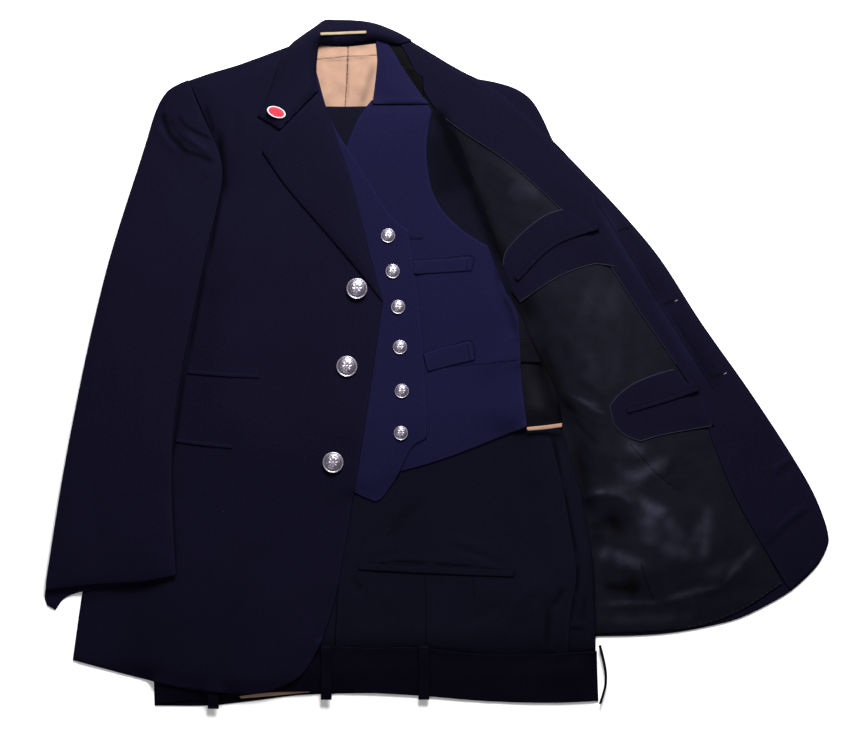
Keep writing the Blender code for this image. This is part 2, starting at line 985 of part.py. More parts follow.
# How each kind of piece rises off what it lies on.
def sleeve_rise(spots, loop, edges):
    return SLEEVE_PUFF * swell(edge_distance(spots, loop), SLEEVE_ROLL)


def legs_body(spots, loop, edges):
    return (LEGS_THICK - TROUSER_CLOTH) * swell(edge_distance(spots, loop), LEGS_ROLL)


def left_sleeve_body(spots, loop, edges):
    body = LEFT_SLEEVE_THICK - SERGE
    return body * swell(edge_distance(spots, loop), LEFT_SLEEVE_ROLL)


def crest_height(y):
    return np.interp(y, [row["y"] for row in CREST], [row["height"] for row in CREST])


def opened_front_rise(spots, loop, edges):
    """The roll of the opened front: up from the valley, then down towards its free edge."""
    valley = named_distance(spots, *HINGE, "hinge") - VALLEY_WIDTH
    climb = ease(valley / CREST_DISTANCE)
    fall = 1 - CREST_FALL * ease((valley - CREST_DISTANCE) / CREST_FALL_WIDTH)
    free = ease(edge_distance(spots, HINGE[0]) / FREE_EDGE_WIDTH)
    return crest_height(spots[:, 1]) * climb * fall * free


def shoulder_rise(spots, loop, edges):
    """A little padding towards the shoulder and sleeve head."""
    away = named_distance(spots, loop, edges, "shoulder") / SHOULDER_REACH
    return SHOULDER_PAD * np.exp(-away ** 2)


def lapel_rise(spots, loop, edges):
    roll = named_distance(spots, loop, edges, "roll")
    return LAPEL_ROLL * swell(roll, LAPEL_EDGE) * np.exp(-(roll / LAPEL_REACH) ** 2)


def collar_rise(spots, loop, edges):
    """The fall rolls over the stand, highest behind the neck."""
    back = np.clip((spots[:, 1] - COLLAR_FRONT_Y) / COLLAR_LENGTH, 0, 1)
    return (COLLAR_LIFT + COLLAR_ROLL * back) * swell(edge_distance(spots, loop), COLLAR_EDGE)


def button(name, x, y, diameter, sides, look):
    """A domed, rimmed button standing on the cloth under it."""
    radius = diameter / 2
    ring = [(math.cos(2 * math.pi * k / sides), math.sin(2 * math.pi * k / sides))
            for k in range(sides)]
    spread = [(x + share * radius * cx, y + share * radius * cy)
              for share in (0.0, 0.5, 1.0) for cx, cy in ring]
    base = PILE.exact(np.array(spread)).max() + GAP
    verts = [(x, y, base)]
    for row in BUTTON_PROFILE:
        level = base + row["z"] * radius
        verts += [(x + row["r"] * radius * cx, y + row["r"] * radius * cy, level)
                  for cx, cy in ring]
    verts.append((x, y, base + BUTTON_CROWN * radius))
    turns = len(BUTTON_PROFILE)
    faces = []
    for k in range(sides):
        after = (k + 1) % sides
        faces.append((0, 1 + after, 1 + k))
        for level in range(turns - 1):
            a = 1 + level * sides
            b = a + sides
            faces.append((a + k, a + after, b + after))
            faces.append((a + k, b + after, b + k))
        top = 1 + (turns - 1) * sides
        faces.append((top + k, top + after, len(verts) - 1))
    PIECES.append((name, verts, faces, look))


def pin(name, x, y, look):
    """A plain oval enamel pin lying on the collar."""
    tilt = math.radians(PIN_TILT)
    along = (math.cos(tilt), math.sin(tilt))
    ring = []
    for k in range(PIN_SIDES):
        angle = 2 * math.pi * k / PIN_SIDES
        u, v = PIN_LENGTH / 2 * math.cos(angle), PIN_WIDTH / 2 * math.sin(angle)
        ring.append((u * along[0] - v * along[1], u * along[1] + v * along[0]))
    base = PILE.exact(np.array([(x + u, y + v) for u, v in ring])).max() + GAP
    verts = [(x, y, base)]
    for row in PIN_PROFILE:
        verts += [(x + row["r"] * u, y + row["r"] * v, base + row["z"]) for u, v in ring]
    verts.append((x, y, base + max(row["z"] for row in PIN_PROFILE)))
    faces = []
    for k in range(PIN_SIDES):
        after = (k + 1) % PIN_SIDES
        faces.append((0, 1 + after, 1 + k))
        for level in range(len(PIN_PROFILE) - 1):
            a = 1 + level * PIN_SIDES
            b = a + PIN_SIDES
            faces.append((a + k, a + after, b + after))
            faces.append((a + k, b + after, b + k))
        top = 1 + (len(PIN_PROFILE) - 1) * PIN_SIDES
        faces.append((top + k, top + after, len(verts) - 1))
    PIECES.append((name, verts, faces, look))


def side_loop(name, look):
    """The belt loop at the side, standing on its edge and bowed away from the waistband."""
    marks = np.array([[row["x"], row["y"]] for row in SIDE_LOOP])
    run = np.gradient(marks, axis=0)
    across = np.stack([-run[:, 1], run[:, 0]], axis=1)
    across /= np.linalg.norm(across, axis=1)[:, None]
    inner = marks + across * BELT_LOOP_CLOTH / 2
    outer = marks - across * BELT_LOOP_CLOTH / 2
    count = len(marks)
    verts = []
    for line in (inner, outer):
        for level, lean in ((SIDE_LOOP_FOOT, 0.0), (SIDE_LOOP_TOP, SIDE_LOOP_LEAN)):
            verts += [(px - lean, py, level) for px, py in line]
    rails = [k * count for k in (0, 1, 3, 2)]
    faces = []
    for k in range(count - 1):
        for m in range(4):
            a, b = rails[m] + k, rails[(m + 1) % 4] + k
            faces.append((a, b, b + 1))
            faces.append((a, b + 1, a + 1))
    stop = [rail + count - 1 for rail in rails]
    faces.append((rails[0], rails[2], rails[1]))
    faces.append((rails[0], rails[3], rails[2]))
    faces.append((stop[0], stop[1], stop[2]))
    faces.append((stop[0], stop[2], stop[3]))
    PIECES.append((name, verts, faces, look))


# Cloths and metals: sRGB colour, roughness, metallic.
LOOKS = table("""
    look            r    g    b  rough  metal
    coat_serge     22   20   39   0.85   0.0
    vest_cloth     31   29   63   0.85   0.0
    trouser_cloth  20   20   34   0.88   0.0
    waistband      14   12   24   0.88   0.0
    coat_lining    30   30   43   0.42   0.0
    vest_lining   222  176  151   0.60   0.0
    vest_satin     28   24   34   0.55   0.0
    button_metal  192  184  196   0.32   1.0
    pin_enamel    176   40   52   0.25   0.0
    tape          190  170  140   0.75   0.0
""")

HINGE = outline(COAT_FRONT_LEFT)
SIDE_LOOP = table("""
    x      y
  180.6   -309
  184     -322
  187     -338
  187     -352
  184     -364
  181     -373
""")
STRIP_ROWS = {row["name"]: row for row in STRIPS}


def lay_strip(name, look):
    row = STRIP_ROWS[name]
    rows = strip_rows(row["x1"], row["y1"], row["xm"], row["ym"], row["x2"], row["y2"],
                      row["width"])
    lay(name, rows, row["proud"], look, cell=0, pitch=8.0, soft=3.0, rounds=0)


def lay_loop(name, look):
    row = [entry for entry in BELT_LOOPS if entry["name"] == name][0]
    half = BELT_LOOP_WIDTH / 2
    corners = ((-half, row["top"]), (half, row["top"]), (half, row["bottom"]),
               (-half, row["bottom"]))
    rows = [{"edge": "loop", "x": row["x"] + dx, "y": y, "turn": "sharp"} for dx, y in corners]
    lay(name, rows, BELT_LOOP_CLOTH, look, cell=0, pitch=12.0, soft=5.0, rounds=2)


# The set, from the table up.
lay("coat_back", COAT_BACK, SERGE, "coat_serge", cell=0, pitch=30.0, rounds=0)
lay("coat_sleeve_left_under", SLEEVE_LEFT, SERGE, "coat_serge", cell=60.0, pitch=24.0)
lay("coat_sleeve_left_top", SLEEVE_LEFT, SERGE, "coat_serge", cell=44.0, pitch=24.0,
    rings=(9.0,), thicken=left_sleeve_body)
lay("coat_front_left", COAT_FRONT_LEFT, SERGE, "coat_serge", cell=28.0, pitch=18.0,
    rise=opened_front_rise)
lay("coat_lining_left", COAT_LINING_LEFT, SATEEN, "coat_lining", cell=18.0,
    ridges=LINING_FOLDS, soft=4.0, rounds=3)
lay("coat_facing_left", COAT_FACING_LEFT, SUITING, "coat_serge", cell=18.0,
    ridges=FACING_FOLDS, soft=4.0, rounds=3)
lay("coat_inner_pocket_upper", INNER_POCKET_UPPER, SATEEN, "coat_serge", cell=18.0, soft=4.0)
lay("coat_inner_pocket_lower", INNER_POCKET_LOWER, SATEEN, "coat_serge", cell=18.0, soft=4.0)
lay_strip("coat_inner_jets_upper", "coat_serge")
lay_strip("coat_inner_jets_lower", "coat_serge")

lay("vest_back", VEST_BACK, SUITING, "vest_satin", cell=40.0, pitch=24.0)
lay("vest_back_lining", VEST_BACK_LINING, SATEEN, "vest_lining", cell=20.0)
lay("trousers_legs", TROUSER_LEGS, TROUSER_CLOTH, "trouser_cloth", cell=34.0, pitch=20.0,
    rings=(7.0,), rounds=2, thicken=legs_body)
lay("waistband_front", WAISTBAND_FRONT, TROUSER_CLOTH, "waistband", cell=26.0)
lay("trousers_front_left", TROUSER_FRONT_LEFT, TROUSER_CLOTH, "trouser_cloth", cell=18.0)
lay("trousers_back_right", TROUSER_BACK_RIGHT, TROUSER_CLOTH, "trouser_cloth", cell=30.0)
lay("trousers_back_left", TROUSER_BACK_LEFT, TROUSER_CLOTH, "trouser_cloth", cell=17.0,
    rounds=3, ridges=SEAT_FOLDS)
lay("waistband_lining", WAISTBAND_LINING, SATEEN, "vest_lining", cell=0)
lay("waistband_back", WAISTBAND_BACK, TROUSER_CLOTH, "waistband", cell=18.0)
for loop_row in BELT_LOOPS:
    lay_loop(loop_row["name"], "trouser_cloth")
side_loop("belt_loop_side", "trouser_cloth")
lay_strip("trousers_back_pocket", "trouser_cloth")

lay("vest_side", VEST_SIDE, SUITING, "vest_satin", cell=18.0, rounds=2)
lay("vest_strap", VEST_STRAP, SATEEN, "vest_satin", cell=0, pitch=12.0, rounds=2)
lay("vest_hem_lining", VEST_HEM_LINING, SATEEN, "vest_lining", cell=0)
lay("vest_front_left", VEST_FRONT_LEFT, SUITING, "vest_cloth", cell=21.0, rounds=3,
    ridges=VEST_FOLDS)
lay("vest_yoke_left", VEST_YOKE_LEFT, SUITING, "vest_cloth", cell=14.0)
lay("vest_front_right", VEST_FRONT_RIGHT, SUITING, "vest_cloth", cell=24.0)
lay_strip("vest_welt_upper", "vest_cloth")
lay_strip("vest_welt_lower", "vest_cloth")

lay("coat_front_right", COAT_FRONT_RIGHT, SERGE, "coat_serge", cell=23.0, pitch=16.0,
    rise=shoulder_rise, ridges=FRONT_FOLDS)
lay_strip("coat_pocket_upper", "coat_serge")
lay_strip("coat_pocket_lower", "coat_serge")
lay("coat_sleeve_right_under", SLEEVE_RIGHT_UNDER, SERGE, "coat_serge", cell=32.0,
    pitch=17.0)
lay("coat_sleeve_right_top", SLEEVE_RIGHT_TOP, SERGE, "coat_serge", cell=17.0,
    rings=(5.0,), rise=sleeve_rise, ridges=SLEEVE_HEAD_FOLDS + CUFF_FOLDS)
lay("coat_lapel", COAT_LAPEL, SERGE, "coat_serge", cell=14.0, rings=(4.0,), rise=lapel_rise)
lay("coat_collar", COAT_COLLAR, COLLAR_CLOTH, "coat_serge", cell=12.0, rings=(4.0,),
    rise=collar_rise)
lay_strip("coat_hanger_loop", "tape")

for row in BUTTONS:
    if row["kind"] == "coat":
        button(row["name"], row["x"], row["y"], COAT_BUTTON, COAT_BUTTON_SIDES, "button_metal")
    else:
        button(row["name"], row["x"], row["y"], VEST_BUTTON, VEST_BUTTON_SIDES, "button_metal")
pin("coat_pin", PIN_X, PIN_Y, "pin_enamel")


# Materials and objects.
def linear(level):
    share = level / 255
    return share / 12.92 if share <= 0.04045 else ((share + 0.055) / 1.055) ** 2.4


def materials():
    made = {}
    for row in LOOKS:
        material = bpy.data.materials.new(row["look"])
        material.use_nodes = True
        shader = material.node_tree.nodes["Principled BSDF"]
        colour = (linear(row["r"]), linear(row["g"]), linear(row["b"]), 1.0)
        shader.inputs["Base Color"].default_value = colour
        shader.inputs["Roughness"].default_value = row["rough"]
        shader.inputs["Metallic"].default_value = row["metal"]
        made[row["look"]] = material
    return made


corners = np.array([vert for piece in PIECES for vert in piece[1]])
middle = (corners.min(axis=0) + corners.max(axis=0)) / 2
shift = np.array([middle[0], middle[1], corners[:, 2].min()])
shelf = materials()
for name, verts, faces, look in PIECES:
    mesh = bpy.data.meshes.new(name)
    mesh.from_pydata([tuple((np.array(vert) - shift) / 1000) for vert in verts], [], faces)
    mesh.materials.append(shelf[look])
    mesh.validate()
    thing = bpy.data.objects.new(name, mesh)
    bpy.context.scene.collection.objects.link(thing)
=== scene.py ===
# %% [markdown]
# # A railroad conductor's uniform, laid flat
# A three-piece set lies on its back: a coat with its left front thrown open, a waistcoat
# buttoned inside it, and trousers folded upside down inside the waistcoat.  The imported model
# says where each piece of cloth lies.  Here each one becomes a thin shell with rounded edges,
# folds, seams and a woven finish, and the buttons get their rims and relief.

# %% Load the frame
import math

import bpy
import numpy as np
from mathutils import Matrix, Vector, noise
from mathutils.bvhtree import BVHTree
from mathutils.geometry import delaunay_2d_cdt


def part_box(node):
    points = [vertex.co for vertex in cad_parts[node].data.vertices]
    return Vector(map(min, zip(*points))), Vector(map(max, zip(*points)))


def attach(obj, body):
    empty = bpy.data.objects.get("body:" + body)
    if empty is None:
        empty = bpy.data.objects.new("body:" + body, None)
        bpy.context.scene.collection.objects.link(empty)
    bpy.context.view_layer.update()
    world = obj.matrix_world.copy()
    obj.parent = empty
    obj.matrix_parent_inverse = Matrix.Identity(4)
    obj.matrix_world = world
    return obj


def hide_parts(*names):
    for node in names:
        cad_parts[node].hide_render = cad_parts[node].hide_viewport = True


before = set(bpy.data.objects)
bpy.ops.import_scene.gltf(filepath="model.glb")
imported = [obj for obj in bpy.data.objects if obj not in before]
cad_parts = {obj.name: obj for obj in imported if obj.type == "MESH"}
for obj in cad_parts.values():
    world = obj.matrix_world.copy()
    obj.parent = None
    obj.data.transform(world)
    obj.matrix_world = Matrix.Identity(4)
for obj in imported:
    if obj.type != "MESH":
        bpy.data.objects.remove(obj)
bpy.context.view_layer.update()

MM = 0.001


def show(name, data):
    """Put a mesh, lamp or camera in the scene as an object of this name."""
    thing = bpy.data.objects.new(name, data)
    bpy.context.scene.collection.objects.link(thing)
    return thing


# %% [markdown]
# ## Camera, light and table
# The set is photographed from straight above on white.  A long lens at a matching distance
# keeps the plan view true, so a millimetre is the same anywhere in the picture.

# %% Camera over the table
IMAGE_WIDTH = 861
MM_A_PIXEL = 1.10
SENSOR = 36.0                # mm
LENS = 135.0                 # mm
VIEW_X = -6.6                # the picture's middle, in mm from the set's
VIEW_Y = -15.4
view_span = IMAGE_WIDTH * MM_A_PIXEL * MM
lens = bpy.data.cameras.new("overhead")
lens.lens = LENS
lens.sensor_width = SENSOR
lens.clip_end = 50.0
camera = show("overhead", lens)
camera.location = (VIEW_X * MM, VIEW_Y * MM, view_span * LENS / SENSOR)
bpy.context.scene.camera = camera
print("camera height", round(camera.location.z, 3), "m")

# %% [markdown]
# The light is a studio's: one soft source beyond the collar and a little to the right, low and
# near enough that the collar gets about twice the light of the hems, and a white room all round.
# The dark cloth then shows its folds by their upper edges, and short soft shadows fall below the
# hems, while the table stays white.

# %% Lights
LIGHTS = (
    # name, place in metres, size in metres, power in watts
    ("key", (0.10, 1.0, 1.04), 0.62, 56.0),
    ("fill", (-0.6, -0.7, 2.2), 1.6, 11.0),
)
ROOM_LIGHT = 0.25


def soft_light(name, place, size, power):
    data = bpy.data.lights.new(name, "AREA")
    data.shape = "DISK"
    data.size = size
    data.energy = power
    lamp = show(name, data)
    lamp.location = place
    lamp.rotation_euler = (-Vector(place)).to_track_quat("-Z", "Y").to_euler()


for light in LIGHTS:
    soft_light(*light)
room = bpy.data.worlds.new("white room")
room.use_nodes = True
backdrop = room.node_tree.nodes["Background"].inputs
backdrop["Color"].default_value = (1.0, 1.0, 1.0, 1.0)
backdrop["Strength"].default_value = ROOM_LIGHT
bpy.context.scene.world = room
bpy.context.scene.view_settings.view_transform = "Standard"
print("lights:", [light[0] for light in LIGHTS])

# %% [markdown]
# ## Writing a material as a sum
# A material's pattern is arithmetic on coordinates.  Value wraps one output of the node tree,
# so that an expression in Python adds the Math nodes.  Paint.add makes any other node from its
# type, its settings and what goes into its sockets.


# %% Values and paints
class Value:
    """One output of a material's node tree, used like a number."""

    def __init__(self, paint, socket):
        self.paint = paint
        self.socket = socket

    def math(self, operation, *others):
        return self.paint.add("ShaderNodeMath", {"operation": operation},
                              {0: self, **{k + 1: other for k, other in enumerate(others)}})

    def flipped(self, operation, other):
        return self.paint.add("ShaderNodeMath", {"operation": operation}, {0: other, 1: self})

    def __add__(self, other):
        return self.math("ADD", other)

    def __radd__(self, other):
        return self.flipped("ADD", other)

    def __sub__(self, other):
        return self.math("SUBTRACT", other)

    def __rsub__(self, other):
        return self.flipped("SUBTRACT", other)

    def __mul__(self, other):
        return self.math("MULTIPLY", other)

    def __rmul__(self, other):
        return self.flipped("MULTIPLY", other)

    def sine(self):
        return self.math("SINE")

    def at_most(self, other):
        return self.math("MINIMUM", other)

    def at_least(self, other):
        return self.math("MAXIMUM", other)

    def ramp(self, low, high):
        """0 below low, 1 above high, and a smooth step between; high may be the lower one."""
        return self.paint.add("ShaderNodeMapRange", {"interpolation_type": "SMOOTHSTEP"},
                              {"Value": self, "From Min": low, "From Max": high})


class Paint:
    """A material and the nodes that are added to it."""

    def __init__(self, name, roughness, metallic=0.0, specular=0.5):
        self.material = bpy.data.materials.new(name)
        self.material.use_nodes = True
        self.tree = self.material.node_tree
        self.shader = self.tree.nodes["Principled BSDF"]
        self.put("Roughness", roughness)
        self.put("Metallic", metallic)
        self.put("Specular IOR Level", specular)

    def add(self, kind, settings=None, inputs=None, output=0):
        node = self.tree.nodes.new(kind)
        for key, value in (settings or {}).items():
            setattr(node, key, value)
        for key, value in (inputs or {}).items():
            self.feed(node.inputs[key], value)
        return Value(self, node.outputs[output])

    def feed(self, socket, value):
        if isinstance(value, Value):
            self.tree.links.new(value.socket, socket)
        else:
            socket.default_value = value

    def put(self, name, value):
        """Set or link one of the shader's own sockets."""
        self.feed(self.shader.inputs[name], value)

    def mix(self, factor, first, second):
        """A colour between two colours."""
        return self.add("ShaderNodeMix", {"data_type": "RGBA"},
                        {"Factor": factor, 6: first, 7: second}, output=2)

    def attribute(self, name):
        """A number that the mesh keeps at each of its points."""
        return self.add("ShaderNodeAttribute", {"attribute_name": name}, output=2)

    def bump(self, height, depth):
        normal = self.add("ShaderNodeBump", None, {"Height": height, "Distance": depth})
        self.put("Normal", normal)


def linear(red, green, blue, gain=1.0):
    """A colour read on a screen, 0 to 255, as the light that it stands for."""
    levels = []
    for level in (red, green, blue):
        share = level / 255
        levels.append(share / 12.92 if share <= 0.04045 else ((share + 0.055) / 1.055) ** 2.4)
    return (levels[0] * gain, levels[1] * gain, levels[2] * gain, 1.0)


print("colour test:", linear(22, 20, 39))

# %% [markdown]
# ## Cloths
# Serge is a twill: fine diagonal ribs, here from two crossing waves on the cloth's own UV map,
# which runs along each piece's grain and is measured in metres.  Slow noise makes the dye
# uneven, and a few pale specks are lint.

# %% Patterns in the weave
TWILL_PITCH = 0.00075        # metres
YARN_PITCH = 0.0004
LINT_SPACING = 0.016
LINT_SIZE = 0.00036
LINT = (86, 84, 98)
# Painted shade in folds and seams, and a painted gleam for satin.
PAINTED_FOLD_SHADE = (2, 2, 4)
GLEAM = (76, 75, 96)
GAIN = 0.40                  # the light on the cloth is stronger than on a screen's white


def cloth_coordinates(paint):
    """The two directions of the weave, in metres along the cloth."""
    flat = paint.add("ShaderNodeUVMap", {"uv_map": "grain"})
    axes = paint.tree.nodes.new("ShaderNodeSeparateXYZ")
    paint.feed(axes.inputs[0], flat)
    return flat, Value(paint, axes.outputs[0]), Value(paint, axes.outputs[1])


def cloud(paint, flat, size, detail=2.0):
    """Soft noise from 0 to 1 with blots of the given size in metres."""
    return paint.add("ShaderNodeTexNoise", None,
                     {"Vector": flat, "Scale": 1.0 / size, "Detail": detail})


def wave(value, pitch):
    """Ribs from 0 to 1."""
    return 0.5 + 0.5 * (value * (2 * math.pi / pitch)).sine()


def lint(paint, flat):
    """1 on a few specks, 0 elsewhere."""
    cells = {"Vector": flat, "Scale": 1.0 / LINT_SPACING, "Randomness": 1.0}
    speck = paint.add("ShaderNodeTexVoronoi", None, cells)
    near = speck.ramp(LINT_SIZE / LINT_SPACING * 1.5, LINT_SIZE / LINT_SPACING * 0.6)
    tone = Value(paint, speck.socket.node.outputs["Color"])
    chosen = paint.add("ShaderNodeSeparateColor", None, {0: tone}).ramp(0.70, 0.74)
    return near * chosen


print("twill ribs in 10 mm:", round(0.010 / TWILL_PITCH))

# %% [markdown]
# Wool is matt and dark, so its gloss is kept very low.  Satin is smoother and gleams on its
# wrinkles.  Both are painted nearly black in a deep fold, as painted shade where cloth shades
# cloth.  Light alone would not show such a shallow fold from straight above, so each mesh also
# keeps a painted shade of its own at its points, and the material reads it; below 0 it is a
# painted highlight, paler wool or a painted gleam on satin.


# %% Wool and satin
def brighter(colour, times, gain):
    return linear(*[level * times for level in colour], gain)


def wool(name, dark, pale, gain, twill=True, lint_share=0.5):
    """Matt cloth of two colours, with painted shade in folds, painted highlight and wear at edges."""
    paint = Paint(name, roughness=0.9, specular=0.012)
    flat, across, along = cloth_coordinates(paint)
    mottle = cloud(paint, flat, 0.09) * 0.35 + cloud(paint, flat, 0.0035, 3.0) * 0.65
    tint = paint.mix(mottle.ramp(0.3, 0.7), linear(*dark, gain), linear(*pale, gain))
    # Paler edges: a painted highlight on the rounded edge, and wear.
    tint = paint.mix(paint.attribute("edge") * 0.16, tint, brighter(pale, 1.7, gain))
    tint = paint.mix(lint(paint, flat) * lint_share, tint, linear(*LINT, gain))
    # Painted highlight where the shade is below 0, and painted shade above it and in seams.
    shade = paint.attribute("shade")
    tint = paint.mix((0.0 - shade).at_least(0.0), tint, brighter(pale, 1.6, gain))
    dark_share = (paint.attribute("line") * 0.8 + shade.at_least(0.0)).at_most(0.97)
    tint = paint.mix(dark_share, tint, linear(*PAINTED_FOLD_SHADE))
    paint.put("Base Color", tint)
    if twill:
        ribs = wave(across + along, TWILL_PITCH) * (0.75 + 0.25 * wave(along, TWILL_PITCH * 0.5))
    else:
        ribs = wave(across, TWILL_PITCH) * 0.5 + wave(along, TWILL_PITCH) * 0.5
    fuzz = cloud(paint, flat, 0.0011, 3.0)
    paint.bump(ribs * 0.2 + fuzz * 0.9, 0.00018)
    return paint.material


def satin(name, dark, pale, roughness, specular, gain):
    """Smooth cloth with a painted gleam where its shade is below 0, and painted shade above it."""
    paint = Paint(name, roughness=roughness, specular=specular)
    flat, across, along = cloth_coordinates(paint)
    mottle = cloud(paint, flat, 0.016, 4.0)
    tint = paint.mix(mottle.ramp(0.32, 0.68), linear(*dark, gain), linear(*pale, gain))
    # Painted gleam where the shade is below 0, and painted shade above it and in seams.
    shade = paint.attribute("shade")
    lit = (0.0 - shade).at_least(0.0) * (mottle.ramp(0.3, 0.7) * 0.6 + 0.55)
    tint = paint.mix(lit.at_most(1.0), tint, linear(*GLEAM, gain))
    dark_share = (paint.attribute("line") * 0.75 + shade.at_least(0.0)).at_most(0.96)
    tint = paint.mix(dark_share, tint, brighter(dark, 0.15, gain))
    paint.put("Base Color", tint)
    paint.put("Roughness", roughness + 0.1 * (cloud(paint, flat, 0.002) - 0.5))
    yarn = wave(along, YARN_PITCH) * 0.5 + cloud(paint, flat, 0.0012)
    soft = cloud(paint, flat, 0.012, 3.0)
    paint.bump(yarn * 0.15 + soft * 0.3, 0.0005)
    return paint.material


MATERIALS = {
    "coat_serge": wool("coat_serge", (20, 18, 36), (23, 21, 41), GAIN),
    "vest_cloth": wool("vest_cloth", (30, 28, 62), (33, 31, 67), GAIN * 0.86, twill=False,
                       lint_share=0.15),
    "trouser_cloth": wool("trouser_cloth", (18, 18, 32), (21, 21, 36), GAIN),
    "waistband": wool("waistband", (12, 10, 23), (15, 13, 26), GAIN, lint_share=0.15),
    "coat_lining": satin("coat_lining", (22, 22, 34), (26, 26, 39), 0.5, 0.02, GAIN * 0.9),
    "vest_lining": satin("vest_lining", (210, 168, 144), (224, 180, 154), 0.6, 0.03, GAIN * 0.84),
    "vest_satin": satin("vest_satin", (23, 20, 30), (27, 24, 34), 0.5, 0.015, GAIN * 0.7),
    "tape": satin("tape", (176, 156, 128), (198, 178, 148), 0.7, 0.1, GAIN),
}
print("cloths:", sorted(MATERIALS))

# %% [markdown]
# Metal, enamel, thread and the white table are simpler.  The buttons are a soft silver that has
# darkened in its hollows: the mesh keeps the depth of the relief in an attribute.

# %% Metal, enamel, thread and table


def button_metal():
    paint = Paint("button_metal", roughness=0.34, metallic=1.0)
    place = paint.add("ShaderNodeTexCoord", output=3)
    hollow = paint.attribute("hollow")
    grime = cloud(paint, place, 0.0016, 3.0).ramp(0.35, 0.65)
    tint = paint.mix((hollow * 0.8 + grime * 0.35).at_most(1.0),
                     linear(188, 181, 196), linear(52, 48, 58))
    paint.put("Base Color", tint)
    paint.put("Roughness", 0.28 + 0.25 * grime)
    paint.bump(cloud(paint, place, 0.0007, 3.0), 0.00008)
    return paint.material


def pin_enamel():
    paint = Paint("pin_enamel", roughness=0.2, specular=0.5)
    place = paint.add("ShaderNodeTexCoord", output=3)
    tint = paint.mix(cloud(paint, place, 0.003).ramp(0.3, 0.7), linear(150, 30, 44),
                     linear(178, 42, 56))
    paint.put("Base Color", tint)
    return paint.material


def plain(name, shade, roughness, specular, grain=0.001, depth=0.00005):
    paint = Paint(name, roughness=roughness, specular=specular)
    place = paint.add("ShaderNodeTexCoord", output=3)
    cloudy = cloud(paint, place, grain, 3.0)
    paint.put("Base Color", paint.mix(cloudy, brighter(shade, 0.92, 1.0), linear(*shade)))
    paint.bump(cloudy, depth)
    return paint.material


PLAIN = (
    # name, colour, roughness, specular
    ("pin_rim", (190, 184, 188), 0.35, 0.3),
    ("vest_thread", (23, 22, 47), 0.8, 0.02),
    ("navy_thread", (16, 15, 28), 0.8, 0.02),
    ("dark_thread", (7, 6, 12), 0.8, 0.02),
    ("pale_thread", (112, 110, 112), 0.8, 0.1),
    ("grey_thread", (42, 42, 50), 0.8, 0.1),
    ("piping", (32, 32, 42), 0.5, 0.05),
)
MATERIALS["button_metal"] = button_metal()
MATERIALS["pin_enamel"] = pin_enamel()
for row in PLAIN:
    MATERIALS[row[0]] = plain(*row)
MATERIALS["table"] = plain("table", (252, 252, 253), 0.9, 0.0, grain=0.05, depth=0.00001)
print("materials:", len(MATERIALS))

# %% [markdown]
# The set lies on a wide white board.  A plane primitive would do, and a mesh of four points is
# the same thing with its size in view.  It is part of the room and not of the object.

# %% The white table
TABLE_HALF = 4.0             # metres
table_mesh = bpy.data.meshes.new("table")
table_mesh.from_pydata([(-TABLE_HALF, -TABLE_HALF, 0), (TABLE_HALF, -TABLE_HALF, 0),
                        (TABLE_HALF, TABLE_HALF, 0), (-TABLE_HALF, TABLE_HALF, 0)],
                       [], [(0, 1, 2, 3)])
table_mesh.materials.append(MATERIALS["table"])
show("table", table_mesh)
print("table", 2 * TABLE_HALF, "m wide")

# %% [markdown]
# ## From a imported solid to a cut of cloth
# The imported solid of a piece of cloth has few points.  Its upper face gives two things: the
# outline that the cloth was cut to, and how high it lies.  The outline's round stretches are
# drawn again through the same points with a smooth curve, and its corners are kept.


# %% Read the upper face
UPWARD = 0.03                # how far up a face of the upper side points, at least
CORNER_TURN = math.radians(33)
RAY_FROM = 500.0             # mm, well above the pile
DOWN = Vector((0, 0, -1))


class Blank:
    """A piece of cloth as the frame has it: plan points in mm, triangles, height, outline."""

    def __init__(self, node):
        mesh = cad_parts[node].data
        mesh.calc_loop_triangles()
        place = np.empty(len(mesh.vertices) * 3, np.float32)
        mesh.vertices.foreach_get("co", place)
        place = place.reshape(-1, 3).astype(float) / MM
        corners = np.empty(len(mesh.loop_triangles) * 3, np.int32)
        mesh.loop_triangles.foreach_get("vertices", corners)
        corners = corners.reshape(-1, 3)
        a, b, c = (place[corners[:, k]] for k in range(3))
        normal = np.cross(b - a, c - a)
        upward = normal[:, 2] / np.maximum(np.linalg.norm(normal, axis=1), 1e-9)
        corners = corners[upward > UPWARD]
        used, flat = np.unique(np.round(place[corners.ravel()], 2), axis=0, return_inverse=True)
        self.points = used
        self.faces = flat.reshape(-1, 3)
        self.outline = self.rim()
        self.tree = BVHTree.FromPolygons([tuple(p) for p in self.points],
                                         [tuple(int(k) for k in f) for f in self.faces])

    def rim(self):
        """The one closed line of edges that only one face uses, anticlockwise."""
        following = {}
        for face in self.faces:
            for k in range(3):
                following[(int(face[k]), int(face[(k + 1) % 3]))] = True
        outer = {a: b for a, b in following if (b, a) not in following}
        start = next(iter(outer))
        loop = [start]
        while outer[loop[-1]] != start:
            loop.append(outer[loop[-1]])
        return self.points[loop][:, :2]

    def height(self, spots):
        """The upper face's height under each plan point, or nan outside it."""
        found = np.full(len(spots), np.nan)
        for k, (x, y) in enumerate(spots):
            hit = self.tree.ray_cast(Vector((x, y, RAY_FROM)), DOWN)
            if hit[0] is not None:
                found[k] = hit[0].z
        return found


def hermite(t, first, last, start, stop):
    """A cubic from first to last with the given slopes at its ends."""
    return ((2 * t ** 3 - 3 * t ** 2 + 1) * first + (t ** 3 - 2 * t ** 2 + t) * start
            + (3 * t ** 2 - 2 * t ** 3) * last + (t ** 3 - t ** 2) * stop)


